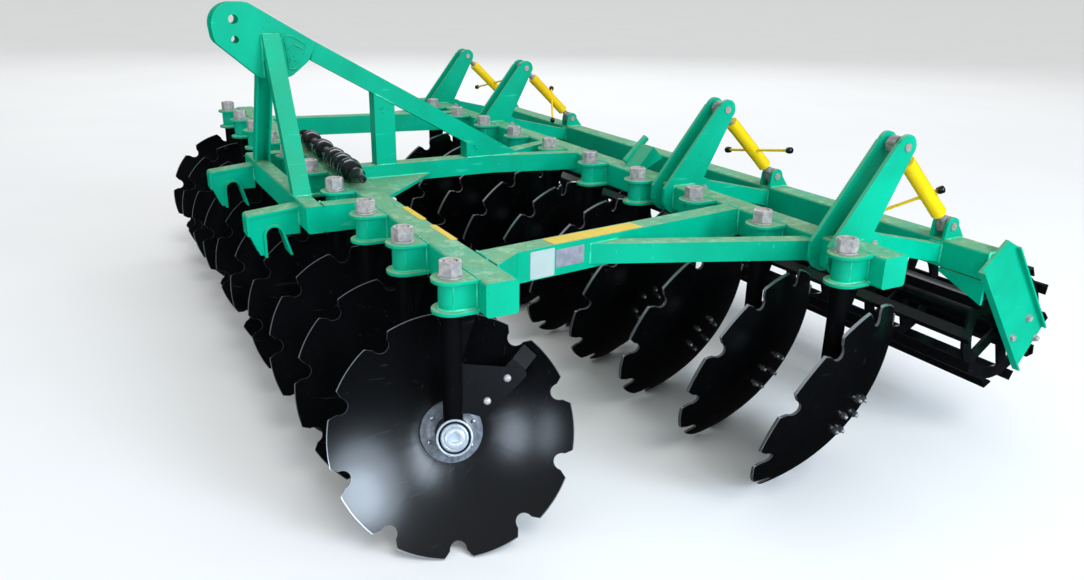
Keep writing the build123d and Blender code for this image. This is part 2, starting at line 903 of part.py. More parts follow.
arm_fall = atan2(pivot[1] - (roller_top - beam_size / 2), roller_face - pivot[0])
half_height = roller_arm_height / 2
with BuildPart() as roller_arms:
    for place in arm_places:
        with BuildSketch(Plane.YZ.offset(place - roller_arm_width / 2)):
            with BuildLine():
                Polyline(
                    (pivot[0] + half_height * sin(arm_fall), pivot[1] + half_height * cos(arm_fall)),
                    (roller_face, roller_top - beam_size / 2 + half_height / cos(arm_fall)),
                    (roller_face, roller_top - beam_size / 2 - half_height / cos(arm_fall)),
                    (pivot[0] - half_height * sin(arm_fall), pivot[1] - half_height * cos(arm_fall)),
                    close=True,
                )
            make_face()
            with Locations(pivot):
                Circle(half_height)
                Circle(pin_radius + running_gap, mode=Mode.SUBTRACT)
        extrude(amount=roller_arm_width)
keep("roller_arms", roller_arms.part)

with BuildPart() as lugs:
    for place in arm_places:
        for offset in (eye_width / 2 + 3, -eye_width / 2 - 3 - lug_plate):
            with BuildSketch(Plane.YZ.offset(place + offset)):
                with BuildLine():
                    Polyline(
                        (roller_face, roller_top),
                        (lug_pin[0] - lug_radius, lug_pin[1]),
                        (lug_pin[0] + lug_radius, lug_pin[1]),
                        (roller_face + beam_size, roller_top),
                        close=True,
                    )
                make_face()
                with Locations(lug_pin):
                    Circle(lug_radius)
                    Circle(pin_radius, mode=Mode.SUBTRACT)
            extrude(amount=lug_plate)
keep("roller_lugs", lugs.part)
keep("lug_pins", cross_pins(*lug_pin, pin_radius, eye_width + 6 + 2 * lug_plate + 2 * pin_head))

end_front = (roller_face - 40, roller_top - 52)
end_foot = (roller_axis[0] + 10, roller_axis[1] - 130)
end_top = (roller_face + 112, roller_top + 12)
end_heel = (roller_axis[0] + 110, roller_axis[1] + 6)
end_outline = (end_front, (roller_face + 62, roller_top + 36), end_top, end_heel, end_foot)
beam_under = roller_top - beam_size


def edge_strip(start, end):
    run = hypot(end[0] - start[0], end[1] - start[1])
    step_y = -(end[1] - start[1]) / run * end_flange_thick
    step_z = (end[0] - start[0]) / run * end_flange_thick
    return (start, end, (end[0] + step_y, end[1] + step_z), (start[0] + step_y, start[1] + step_z))


# End plates with a flange along each long edge, a bearing inside and a gusset under the beam
with BuildPart() as end_plates:
    for sign in (1, -1):
        with BuildSketch(Plane.YZ.offset(sign * end_plate_x)):
            with BuildLine():
                Polyline(*end_outline, close=True)
            make_face()
        extrude(amount=sign * end_plate_thick)
        with BuildSketch(Plane.YZ.offset(sign * end_plate_x)):
            with Locations(roller_axis):
                Circle(end_bearing_radius)
                Circle(roller_shaft_radius + running_gap, mode=Mode.SUBTRACT)
        extrude(amount=-sign * end_bearing_depth)
        with BuildSketch(Plane.YZ.offset(sign * end_plate_x)):
            for start, end in ((end_front, end_foot), (end_heel, end_top)):
                with BuildLine():
                    Polyline(*edge_strip(start, end), close=True)
                make_face()
        extrude(amount=sign * end_flange)
        with BuildSketch(Plane.XZ.offset(-roller_face - end_plate_thick)):
            with BuildLine():
                Polyline(
                    (sign * end_plate_x, beam_under),
                    (sign * (end_plate_x - end_gusset_run), beam_under),
                    (sign * (end_plate_x - end_gusset_run), beam_under - end_gusset_edge),
                    (sign * end_plate_x, beam_under - end_gusset_drop),
                    close=True,
                )
            make_face()
        extrude(amount=end_plate_thick)
keep("roller_end_plates", end_plates.part)

# Hanger between the two rollers: a plate down from the beam and the bearing sleeve for both shafts
with BuildPart() as hanger:
    with BuildSketch(Plane.YZ.offset(-hanger_thick / 2)):
        with BuildLine():
            Polyline(
                (roller_face, roller_top - beam_size),
                (roller_face + beam_size, roller_top - beam_size),
                (roller_axis[0] + hanger_sleeve, roller_axis[1]),
                (roller_axis[0] - hanger_sleeve, roller_axis[1]),
                close=True,
            )
        make_face()
    extrude(amount=hanger_thick)
    with BuildSketch(Plane.YZ.offset(-hanger_reach)):
        with Locations(roller_axis):
            Circle(hanger_sleeve)
    extrude(amount=2 * hanger_reach)
    with BuildSketch(Plane.YZ.offset(-hanger_reach)):
        with Locations(roller_axis):
            Circle(roller_shaft_radius + running_gap)
    extrude(amount=2 * hanger_reach, mode=Mode.SUBTRACT)
keep("roller_hanger", hanger.part)

# Rollers: a bar cage on spoked rings round a shaft, one on each side
section = roller_end_x - roller_middle_gap
spider_step = (section - 2 * roller_bar_end - spider_thick) / (spider_count - 1)
ring_radius = roller_radius - roller_bar_width * sqrt(0.5)
shaft_length = end_plate_x - face_gap - shaft_split
# Each roller: its hand, where its bars start and where its shaft starts
for hand, start, shaft_start in (
    ("left", roller_middle_gap, shaft_split),
    ("right", -roller_end_x, -shaft_split - shaft_length),
):
    with BuildPart() as roller:
        with BuildSketch(Plane.YZ.offset(shaft_start)):
            with Locations(roller_axis):
                Circle(roller_shaft_radius)
        extrude(amount=shaft_length)
        for index in range(spider_count):
            with BuildSketch(Plane.YZ.offset(start + roller_bar_end + index * spider_step)):
                with Locations(roller_axis):
                    Circle(ring_radius)
                    Circle(ring_radius - ring_width, mode=Mode.SUBTRACT)
                    with PolarLocations(0, spoke_count):
                        with Locations((ring_radius / 2, 0)):
                            Rectangle(ring_radius - ring_width, spoke_width)
            extrude(amount=spider_thick)
        with BuildSketch(Plane.YZ.offset(start)):
            with Locations(roller_axis):
                with PolarLocations(roller_radius, roller_bars):
                    with Locations(Location((0, 0, 0), (0, 0, 135))):
                        Rectangle(roller_bar_width, roller_bar_thick, align=Align.MIN)
                        Rectangle(roller_bar_thick, roller_bar_width, align=Align.MIN)
        extrude(amount=section)
    keep("roller_" + hand, roller.part)

# Turnbuckles: upper rod and yellow barrel turn on the arm pins, the lower rod slides in the barrel
reach = hypot(lug_pin[0] - arm_pin[0], lug_pin[1] - arm_pin[1])
link_dir = ((lug_pin[0] - arm_pin[0]) / reach, (lug_pin[1] - arm_pin[1]) / reach)


def link_plane(place, along=0.0):
    y = arm_pin[0] + link_dir[0] * along
    z = arm_pin[1] + link_dir[1] * along
    return Plane(origin=(place, y, z), x_dir=(1, 0, 0), z_dir=(0, link_dir[0], link_dir[1]))


def make_rods(start, end, eye_at, bore):
    with BuildPart() as rods:
        for place in arm_places:
            with BuildSketch(link_plane(place, start)):
                Circle(rod_radius)
            extrude(amount=end - start)
            with BuildSketch(Plane.YZ.offset(place - eye_width / 2)):
                with Locations(eye_at):
                    Circle(eye_radius)
            extrude(amount=eye_width)
            with BuildSketch(Plane.YZ.offset(place - eye_width / 2)):
                with Locations(eye_at):
                    Circle(bore)
            extrude(amount=eye_width, mode=Mode.SUBTRACT)
    return rods.part


barrel_middle = (barrel_start + barrel_end) / 2
upper_eye_bore = pin_radius + running_gap
lower_eye_bore = pin_radius + eye_clearance
upper_end = barrel_start + rod_grip
lower_start = barrel_middle + rod_apart
keep("turnbuckle_upper_rods", make_rods(eye_radius / 2, upper_end, arm_pin, upper_eye_bore))
keep("turnbuckle_lower_rods", make_rods(lower_start, reach - eye_radius / 2, lug_pin, lower_eye_bore))

with BuildPart() as barrels:
    for place in arm_places:
        with BuildSketch(link_plane(place, barrel_start)):
            Circle(barrel_radius)
            Circle(rod_radius + running_gap, mode=Mode.SUBTRACT)
        extrude(amount=barrel_end - barrel_start)
keep("turnbuckle_barrels", barrels.part)

with BuildPart() as handles:
    for place, (handle_turn, handle_slide) in zip(arm_places, handle_turns):
        base = link_plane(place, handle_place)
        for turn, length in (
            (handle_turn, handle_reach + handle_slide),
            (handle_turn + 180, handle_reach - handle_slide),
        ):
            out = base.x_dir * cos(radians(turn)) + base.y_dir * sin(radians(turn))
            side_plane = Plane(origin=base.origin + out * barrel_radius, z_dir=out)
            with BuildSketch(side_plane):
                Circle(handle_radius)
            extrude(amount=length - barrel_radius)
            with BuildSketch(side_plane.offset(length - barrel_radius - knob_radius)):
                Circle(knob_radius)
            extrude(amount=2 * knob_radius)
keep("turnbuckle_handles", handles.part)

# Cross shaft of the hitch, stowed askew on the front beam behind the mast, turned with collars
shaft_length_all = shaft_left - shaft_right
shaft_low_y = front_face + beam_size - shaft_inset
shaft_tilt = atan2(shaft_skew, shaft_length_all)
shaft_plane = Plane(
    origin=(shaft_right, shaft_low_y, beam_top + cross_collar_radius),
    x_dir=(0, 0, 1),
    z_dir=(cos(shaft_tilt), -sin(shaft_tilt), 0),
)
with BuildPart() as cross_shaft:
    with BuildSketch(shaft_plane):
        Circle(cross_shaft_radius)
    extrude(amount=shaft_length_all - shaft_nose)
    for start in cross_collars:
        with BuildSketch(shaft_plane.offset(start)):
            Circle(cross_collar_radius)
        extrude(amount=cross_collar_length, taper=8)
    with BuildSketch(shaft_plane.offset(shaft_length_all - shaft_nose)):
        Circle(cross_shaft_radius)
    with BuildSketch(shaft_plane.offset(shaft_length_all)):
        Circle(cross_shaft_radius / 2)
    loft()
keep("hitch_cross_shaft", cross_shaft.part)
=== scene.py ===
"""Looks of a mounted disc harrow: numpy surfaces and procedural finishes round the fixed CAD frame.

Lengths are metres in the frame's axes: X runs across the machine with its left side positive,
-Y is the way it travels, and Z is up from the floor that the discs stand on.
"""

import math

import bpy
import numpy as np
from mathutils import Matrix


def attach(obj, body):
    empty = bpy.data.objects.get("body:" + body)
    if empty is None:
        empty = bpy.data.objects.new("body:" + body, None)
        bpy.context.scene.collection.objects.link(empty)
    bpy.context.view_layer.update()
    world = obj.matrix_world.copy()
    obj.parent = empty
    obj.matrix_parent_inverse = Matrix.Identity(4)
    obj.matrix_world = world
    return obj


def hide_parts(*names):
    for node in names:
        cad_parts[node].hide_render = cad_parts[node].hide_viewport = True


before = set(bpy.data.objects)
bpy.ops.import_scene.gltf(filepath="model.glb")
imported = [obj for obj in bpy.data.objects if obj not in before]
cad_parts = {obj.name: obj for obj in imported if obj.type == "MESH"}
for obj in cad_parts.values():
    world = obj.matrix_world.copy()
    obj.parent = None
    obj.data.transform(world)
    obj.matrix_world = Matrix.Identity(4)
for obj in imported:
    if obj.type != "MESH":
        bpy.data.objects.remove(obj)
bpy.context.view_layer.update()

# Rows of discs; each disc's first notch is turned by its own number of degrees
DISCS_PER_ROW = 10
DISC_SPACING = 0.335
ROW_STAGGER = 0.282
ROW_GAP = 1.053
FRONT_ROW_Y = -0.860
DISC_RADIUS = 0.325
# The rim is drawn in by this much, so that it stays inside the box of the CAD's facets
RIM_EASE = 0.0001
DISC_DISH = 0.085
DISC_WALL = 0.006
ATTACK = math.radians(18)
CAMBER = math.radians(20)
NOTCHES = 10
NOTCH_DEPTH = 0.042
NOTCH_ROOT_RADIUS = 0.023
NOTCH_MOUTH = 0.092
NOTCH_TURNS = (0, 7, 16, 25, 4, 30, 12, 20, 33, 9)

# Hub and stand of a disc
FLANGE_RADIUS = 0.085
FLANGE_THICK = 0.014
FLANGE_LAND = 0.001
NECK_RADIUS = 0.036
SHAFT_RADIUS = 0.020
HOUSING_FRONT = 0.042
HOUSING_BACK = 0.046
HUB_BOLT_CIRCLE = 0.0645
LEG_LENGTH = 0.352
BRACKET_FACE = 0.040
BRACKET_BOLTS = (0.126, 0.205)
STUD_RADIUS = 0.018
NUT_FLATS = 0.055
NUT_HEIGHT = 0.038
WASHER_RADIUS = 0.032
WASHER_THICK = 0.005
STUD_RECESS = 0.004

# Frame
BEAM = 0.090
SETBACK = 0.055
SOCKET_RADIUS = 0.032
SOCKET_WALL = 0.009
SOCKET_FLARE = 0.005
SOCKET_PLATE = 0.010
SOCKET_LIP = 0.018
SOCKET_SEAM = math.radians(-12)

# Places that follow
HUB_Z = DISC_RADIUS * math.cos(CAMBER)
BEAM_LOW = HUB_Z + LEG_LENGTH
BEAM_TOP = BEAM_LOW + BEAM
ROW_REACH = DISC_SPACING * (DISCS_PER_ROW - 1) / 2
REAR_ROW_Y = FRONT_ROW_Y + ROW_GAP
FRONT_FACE = FRONT_ROW_Y + SETBACK
FRONT_BACK = FRONT_FACE + BEAM
REAR_FACE = REAR_ROW_Y + SETBACK
REAR_BACK = REAR_FACE + BEAM

# Each row: name, its y, the x of its middle, the side that its hollow faces look to
ROWS = (
    ("front", FRONT_ROW_Y, -ROW_STAGGER / 2, 1),
    ("rear", REAR_ROW_Y, ROW_STAGGER / 2, -1),
)


def row_xs(middle):
    return middle + ROW_REACH - DISC_SPACING * np.arange(DISCS_PER_ROW)


# Surfaces


def quads(rows, columns, wrap_rows=False, wrap_columns=True):
    """Faces of a grid: corner (i, j) joins (i+1, j), (i+1, j+1) and (i, j+1), wrapped where closed."""
    i = np.arange(rows if wrap_rows else rows - 1)
    j = np.arange(columns if wrap_columns else columns - 1)
    i, j = np.meshgrid(i, j, indexing="ij")
    below, beside = (i + 1) % rows, (j + 1) % columns
    corners = [(i, j), (below, j), (below, beside), (i, beside)]
    return np.stack([row * columns + column for row, column in corners], -1).reshape(-1, 4).tolist()


def shell(points, wrap_rows=False):
    """A closed skin of a rows x columns x 3 grid whose columns run round; its end rows are capped."""
    rows, columns = points.shape[:2]
    faces = quads(rows, columns, wrap_rows)
    if not wrap_rows:
        faces += [list(range(columns)), list(range(rows * columns - 1, (rows - 1) * columns - 1, -1))]
    points = points.reshape(-1, 3)
    fan = np.array([(f[0], f[k], f[k + 1]) for f in faces for k in range(1, len(f) - 1)])
    a, b, c = (points[fan[:, k]] for k in range(3))
    if np.einsum("ij,ij->i", a, np.cross(b, c)).sum() < 0:
        faces = [f[::-1] for f in faces]
    return points, faces


def place(points, origin, x_dir, y_dir, z_dir):
    """Carries local points to origin + x * x_dir + y * y_dir + z * z_dir."""
    return np.asarray(origin) + points @ np.array([x_dir, y_dir, z_dir])


def axes_along(direction, near=(0.0, 0.0, 1.0)):
    """Three unit axes, the last one along the direction and the second one nearest the one given."""
    z = np.asarray(direction, float) / np.linalg.norm(direction)
    near = np.asarray(near, float)
    if abs(z @ near) > 0.99:
        near = np.array([0.0, 1.0, 0.0])
    y = near - z * (near @ z)
    y /= np.linalg.norm(y)
    return np.cross(y, z), y, z


# A profile's point on its axis becomes a ring of this radius
PINPOINT = 0.0003


def turned(profile, sides, origin, axes, radius_of=None, ring=False):
    """A profile of (radius, height) turned about the third axis: (r cos a, r sin a, h), r perhaps times a
    function of the angle. A ring's profile closes on itself."""
    profile = np.asarray(profile, float)
    angle = np.arange(sides) * 2 * np.pi / sides
    radius = np.maximum(profile[:, :1], PINPOINT) * np.ones(sides)
    if radius_of is not None:
        radius = radius_of(angle[None, :], radius, profile[:, 1:])
    height = profile[:, 1:] * np.ones(sides)
    points = np.stack([radius * np.cos(angle), radius * np.sin(angle), height], -1)
    return shell(place(points, origin, *axes), wrap_rows=ring)


def swept(path, radius, sides):
    """A round section of the given radius at each point of the path, square to the path's direction."""
    path = np.asarray(path, float)
    run = np.gradient(path, axis=0)
    run /= np.linalg.norm(run, axis=1, keepdims=True)
    guide = np.array([0.0, 0.0, 1.0]) if abs(run[:, 2]).max() < 0.9 else np.array([0.31, 0.83, 0.46])
    side = np.cross(run, guide)
    side /= np.linalg.norm(side, axis=1, keepdims=True)
    up = np.cross(side, run)
    angle = np.arange(sides) * 2 * np.pi / sides
    radius = np.broadcast_to(np.asarray(radius, float), len(path))[:, None, None]
    ring = np.cos(angle)[None, :, None] * side[:, None] + np.sin(angle)[None, :, None] * up[:, None]
    return shell(path[:, None] + radius * ring)


def resampled(path, step):
    """The same run of straight stretches as evenly spaced points."""
    path = np.asarray(path, float)
    run = np.r_[0, np.cumsum(np.linalg.norm(np.diff(path, axis=0), axis=1))]
    count = max(3, int(run[-1] / step) + 1)
    at = np.linspace(0, run[-1], count)
    return np.stack([np.interp(at, run, path[:, k]) for k in range(3)], -1), at


def bead(path, radius=0.0035, pitch=0.006, seed=0.0):
    """A weld bead: a six-sided section along the path whose radius ripples as |sin| with the pitch and
    fades at both ends."""
    points, at = resampled(path, pitch / 3)
    ripple = 0.82 + 0.18 * np.abs(np.sin(np.pi * at / pitch + seed)) + 0.07 * np.sin(at * 90 + seed * 7)
    ends = np.clip(np.minimum(at, at[-1] - at) / (2 * radius), 0.25, 1) ** 0.5
    return swept(points, radius * ripple * ends, 6)


def slab(outline, thick, origin, axes, ease=0.0006):
    """A thin plate: the outline at four heights, drawn in by the ease at its faces, closed by flat caps."""
    outline = np.asarray(outline, float)
    middle = outline.mean(axis=0)
    inner = outline - (outline - middle) / np.linalg.norm(outline - middle, axis=1, keepdims=True) * ease
    rows = [(inner, 0.0), (outline, ease), (outline, thick - ease), (inner, thick)]
    points = np.stack([np.c_[edge, np.full(len(edge), height)] for edge, height in rows])
    return shell(place(points, origin, *axes))


CORNER_POINTS = 5


def round_rectangle(width, height, corner):
    """A rectangle whose corners are quarter circles."""
    angle = np.linspace(0, np.pi / 2, CORNER_POINTS)
    turns = []
    for quarter, (sx, sy) in enumerate(((1, 1), (-1, 1), (-1, -1), (1, -1))):
        a = angle + quarter * np.pi / 2
        middle = np.array([sx * (width / 2 - corner), sy * (height / 2 - corner)])
        turns.append(middle + corner * np.c_[np.cos(a), np.sin(a)])
    return np.concatenate(turns)


def build(name, parts, material, body, stands_for=(), crease=38, marks=None):
    """Joins closed skins into one mesh, smooth up to the crease angle, and rides it on its body."""
    points = np.concatenate([p for p, _ in parts])
    starts = np.cumsum([0] + [len(p) for p, _ in parts])
    faces = [[start + corner for corner in face] for (_, fs), start in zip(parts, starts) for face in fs]
    mesh = bpy.data.meshes.new(name)
    mesh.from_pydata(points.tolist(), [], faces)
    mesh.polygons.foreach_set("use_smooth", np.ones(len(faces), bool))
    mesh.set_sharp_from_angle(angle=math.radians(crease))
    for mark, values in (marks or {}).items():
        attribute = mesh.attributes.new(mark, "FLOAT", "POINT")
        attribute.data.foreach_set("value", np.asarray(values, np.float32))
    mesh.materials.append(material)
    piece = bpy.data.objects.new(name, mesh)
    bpy.context.scene.collection.objects.link(piece)
    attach(piece, body)
    if stands_for:
        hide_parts(*stands_for)
    return piece


# Finishes


def wire(tree, kind, inputs=(), **settings):
    """Adds a node; each input is a number, a colour or another node's output."""
    node = tree.nodes.new(kind)
    for key, value in settings.items():
        setattr(node, key, value)
    for key, value in dict(inputs).items():
        if isinstance(value, bpy.types.NodeSocket):
            tree.links.new(value, node.inputs[key])
        else:
            node.inputs[key].default_value = value
    return node


def group_node(tree, group, inputs):
    node = tree.nodes.new("ShaderNodeGroup")
    node.node_tree = group
    for key, value in inputs.items():
        node.inputs[key].default_value = value
    return node


def new_group(name, inputs, outputs):
    """A node group with float inputs (name, default) and float outputs."""
    group = bpy.data.node_groups.new(name, "ShaderNodeTree")
    for label, default in inputs:
        socket = group.interface.new_socket(label, in_out="INPUT", socket_type="NodeSocketFloat")
        socket.default_value = default
    for label in outputs:
        group.interface.new_socket(label, in_out="OUTPUT", socket_type="NodeSocketFloat")
    return group, group.nodes.new("NodeGroupInput"), group.nodes.new("NodeGroupOutput")


def math_node(tree, operation, a, b=0.0, clamp=False):
    return wire(tree, "ShaderNodeMath", {0: a, 1: b}, operation=operation, use_clamp=clamp).outputs[0]


def noise(tree, where, scale, detail=4.0, roughness=0.55):
    inputs = {"Vector": where, "Scale": scale, "Detail": detail, "Roughness": roughness}
    return wire(tree, "ShaderNodeTexNoise", inputs).outputs["Fac"]


def steps(tree, value, low, high):
    """A smooth step from 0 at low to 1 at high."""
    inputs = {"Value": value, "From Min": low, "From Max": high}
    return wire(tree, "ShaderNodeMapRange", inputs, interpolation_type="SMOOTHSTEP").outputs["Result"]


def dust_group():
    """Dust lies on faces that look up, in soft patches, with a fine grit of its own."""
    group, given, out = new_group("field_dust", (("Patch size", 5.0), ("Cover", 0.5)), ("Dust", "Grit"))
    where = wire(group, "ShaderNodeTexCoord").outputs["Object"]
    normal = wire(group, "ShaderNodeNewGeometry").outputs["Normal"]
    up = steps(group, wire(group, "ShaderNodeSeparateXYZ", {0: normal}).outputs["Z"], 0.35, 0.95)
    patch = noise(group, where, given.outputs["Patch size"], 6.0, 0.62)
    patch = steps(group, math_node(group, "ADD", patch, given.outputs["Cover"]), 0.72, 1.25)
    grit = steps(group, noise(group, where, 240.0, 3.0, 0.7), 0.46, 0.66)
    speckle = math_node(group, "ADD", math_node(group, "MULTIPLY", grit, 0.4), 0.6)
    blend = math_node(group, "MULTIPLY", patch, speckle)
    group.links.new(math_node(group, "MULTIPLY", up, blend), out.inputs["Dust"])
    group.links.new(grit, out.inputs["Grit"])
    return group


def scuff_and_sheen_group():
    """Scuffs on faces that look up: strokes of two slants from drawn-out noises, inside coarse patches;
    and a painted sheen: pale patches of a finer noise on the same faces.
    """
    group, given, out = new_group("scuffs_and_painted_sheen", (("Amount", 0.5),), ("Scuff", "Painted_sheen"))
    where = wire(group, "ShaderNodeTexCoord").outputs["Object"]
    normal = wire(group, "ShaderNodeNewGeometry").outputs["Normal"]
    up = steps(group, wire(group, "ShaderNodeSeparateXYZ", {0: normal}).outputs["Z"], 0.6, 0.95)
    strokes = []
    for turn, stretch in ((0.5, (26.0, 150.0, 40.0)), (-0.7, (190.0, 22.0, 40.0))):
        inputs = {"Vector": where, "Rotation": (0.0, 0.0, turn), "Scale": stretch}
        slant = wire(group, "ShaderNodeMapping", inputs)
        strokes.append(steps(group, noise(group, slant.outputs[0], 1.0, 3.0, 0.6), 0.54, 0.66))
    both = math_node(group, "MAXIMUM", *strokes)
    patch = steps(group, noise(group, where, 9.0, 4.0, 0.6), 0.44, 0.60)
    # Painted sheen: patches of a finer noise on faces that look up, later tinted pale green as a painted
    # reflection
    painted_sheen = steps(group, noise(group, where, 22.0, 5.0, 0.7), 0.50, 0.62)
    amount = math_node(group, "MULTIPLY", up, given.outputs["Amount"])
    scuffed = math_node(group, "MULTIPLY", math_node(group, "MULTIPLY", both, patch), amount)
    group.links.new(scuffed, out.inputs["Scuff"])
    group.links.new(math_node(group, "MULTIPLY", painted_sheen, amount), out.inputs["Painted_sheen"])
    return group


def wear_group():
    """Chips where a fine and a coarse noise are both high, and scratches from a noise drawn out aslant."""
    group, given, out = new_group("shop_wear", (("Chips", 0.5), ("Scratches", 0.5)), ("Chip", "Scratch"))
    where = wire(group, "ShaderNodeTexCoord").outputs["Object"]
    coarse = noise(group, where, 9.0, 3.0, 0.6)
    fine = noise(group, where, 120.0, 4.0, 0.65)
    both = math_node(group, "MULTIPLY", coarse, fine)
    both = math_node(group, "ADD", both, math_node(group, "MULTIPLY", given.outputs["Chips"], 0.1))
    inputs = {"Vector": where, "Rotation": (0.7, 0.4, 0.9), "Scale": (220.0, 6.0, 40.0)}
    slant = wire(group, "ShaderNodeMapping", inputs)
    line = noise(group, slant.outputs[0], 1.0, 2.0, 0.5)
    line = math_node(group, "ADD", line, math_node(group, "MULTIPLY", given.outputs["Scratches"], 0.1))
    group.links.new(steps(group, both, 0.44, 0.50), out.inputs["Chip"])
    group.links.new(steps(group, line, 0.72, 0.80), out.inputs["Scratch"])
    return group


def coat_group():
    """A paint coat: a broad cloud for its colour, and a fine orange peel for its bump."""
    inputs = (("Cloud size", 3.0), ("Peel size", 150.0))
    group, given, out = new_group("paint_coat", inputs, ("Cloud", "Peel"))
    where = wire(group, "ShaderNodeTexCoord").outputs["Object"]
    cloud = noise(group, where, given.outputs["Cloud size"], 5.0, 0.6)
    group.links.new(steps(group, cloud, 0.3, 0.7), out.inputs["Cloud"])
    group.links.new(noise(group, where, given.outputs["Peel size"], 2.0, 0.5), out.inputs["Peel"])
    return group


DUST, SCUFF_AND_SHEEN, WEAR, COAT = dust_group(), scuff_and_sheen_group(), wear_group(), coat_group()


def blend_colours(tree, factor, first, second):
    node = wire(tree, "ShaderNodeMix", {0: factor, 6: first, 7: second}, data_type="RGBA")
    return node.outputs[2]


def linear(red, green, blue):
    """A screen colour of 0 to 255 as the linear colour that a shader takes."""
    value = np.array([red, green, blue]) / 255
    return (*np.where(value <= 0.04045, value / 12.92, ((value + 0.055) / 1.055) ** 2.4).tolist(), 1.0)


# Pale green of the painted sheen on faces that look up, and the dark green of real scuffs
PAINTED_SHEEN_GREEN, SCUFFED_GREEN = linear(176, 208, 178), linear(36, 112, 84)
GROUND_STEEL = linear(205, 207, 210)


def finish(name, colour, deep, dust, cover=0.5, patch=5.0, chips=0.5, chip_colour=None, rough=0.35,
           coat=0.3, metal=0.0, sheen=0.35, peel=0.1, cloud=3.0, grit=0.5, scratch_colour=None,
           mark=None, coat_rough=0.12, scuff_and_sheen=0.0):
    """A painted or plated surface: two tones clouded into each other, worn spots and scratches of their own
    colours, dust on top, and where asked dark scuffs and a painted sheen of pale green on faces that look up.
    Colours are screen colours. Roughness and bump follow the same masks. A mark names the attribute that says
    where the metal is ground bare."""
    material = bpy.data.materials.new(name)
    material.use_nodes = True
    tree = material.node_tree
    shader = tree.nodes["Principled BSDF"]
    coat_look = group_node(tree, COAT, {"Cloud size": cloud})
    wear = group_node(tree, WEAR, {"Chips": chips})
    field = group_node(tree, DUST, {"Patch size": patch, "Cover": cover})
    base = blend_colours(tree, coat_look.outputs["Cloud"], linear(*colour), linear(*deep))
    base = blend_colours(tree, wear.outputs["Chip"], base, linear(*(chip_colour or deep)))
    scratch = math_node(tree, "MULTIPLY", wear.outputs["Scratch"], 0.5)
    base = blend_colours(tree, scratch, base, linear(*(scratch_colour or colour)))
    dusty = math_node(tree, "MULTIPLY", field.outputs["Dust"], grit)
    base = blend_colours(tree, dusty, base, linear(*dust))
    if scuff_and_sheen:
        marks = group_node(tree, SCUFF_AND_SHEEN, {"Amount": scuff_and_sheen})
        # Faces that look up get a painted sheen of pale green, and real dark scuffs
        for mark_name, share, tone in (("Painted_sheen", 0.55, PAINTED_SHEEN_GREEN), ("Scuff", 0.7, SCUFFED_GREEN)):
            amount = math_node(tree, "MULTIPLY", marks.outputs[mark_name], share)
            base = blend_colours(tree, amount, base, tone)
    gloss = math_node(tree, "MULTIPLY", coat_look.outputs["Cloud"], 0.08)
    gloss = math_node(tree, "ADD", gloss, rough - 0.04)
    gloss = math_node(tree, "ADD", gloss, math_node(tree, "MULTIPLY", dusty, 0.45), clamp=True)
    if mark:
        ground = wire(tree, "ShaderNodeAttribute", attribute_name=mark).outputs["Fac"]
        base = blend_colours(tree, ground, base, GROUND_STEEL)
        tree.links.new(math_node(tree, "MULTIPLY", ground, 0.9), shader.inputs["Metallic"])
    else:
        shader.inputs["Metallic"].default_value = metal
    tree.links.new(base, shader.inputs["Base Color"])
    tree.links.new(gloss, shader.inputs["Roughness"])
    shader.inputs["Specular IOR Level"].default_value = sheen
    shader.inputs["Coat Weight"].default_value = coat
    shader.inputs["Coat Roughness"].default_value = coat_rough
    raised = math_node(tree, "MULTIPLY", field.outputs["Grit"], 0.3)
    height = math_node(tree, "ADD", coat_look.outputs["Peel"], raised)
    height = math_node(tree, "SUBTRACT", height, math_node(tree, "MULTIPLY", wear.outputs["Chip"], 0.5))
    bump = wire(tree, "ShaderNodeBump", {"Height": height, "Strength": peel, "Distance": 0.0008})
    tree.links.new(bump.outputs[0], shader.inputs["Normal"])
    return material


# The frame's green: real dust, chips, scratches and dark scuffs, and a painted sheen of pale green on its
# tops
green_enamel = finish(
    "green_enamel", (0, 176, 138), (0, 156, 120), (144, 174, 132), cover=0.62, patch=6.0,
    chip_colour=(0, 108, 84), rough=0.34, coat=0.05, sheen=0.1, grit=0.95,
    scratch_colour=(50, 200, 166), scuff_and_sheen=0.75,
)
# Weld beads: a green lighter than the frame's and near-white chips, both painted highlights along the seams;
# the dust on them is real
weld_green_painted_highlights = finish(
    "weld_green_painted_highlights", (64, 218, 176), (6, 166, 128), (160, 200, 160), cover=0.4, patch=9.0,
    cloud=26.0, chip_colour=(150, 236, 204), chips=0.6, rough=0.24, coat=0.6, peel=0.3, grit=0.3,
)
disc_lacquer = finish(
    "disc_lacquer", (9, 10, 12), (5, 6, 7), (60, 57, 52), cover=0.2, patch=7.0,
    chip_colour=(26, 27, 31), chips=0.1, rough=0.3, coat=1.0, sheen=0.12, peel=0.04, grit=0.08,
    scratch_colour=(40, 42, 48), mark="ground", coat_rough=0.2,
)
hub_enamel = finish(
    "hub_enamel", (122, 130, 140), (88, 95, 104), (120, 116, 108), cover=0.35, patch=12.0,
    cloud=70.0, chip_colour=(40, 42, 46), chips=0.8, rough=0.34, coat=0.3, peel=0.2, grit=0.3,
    mark="ground",
)
stand_enamel = finish(
    "stand_enamel", (10, 10, 12), (6, 6, 8), (56, 53, 48), cover=0.3, patch=8.0,
    chip_colour=(28, 28, 30), rough=0.42, coat=0.03, sheen=0.12, peel=0.2, grit=0.25,
    scratch_colour=(42, 42, 46),
)
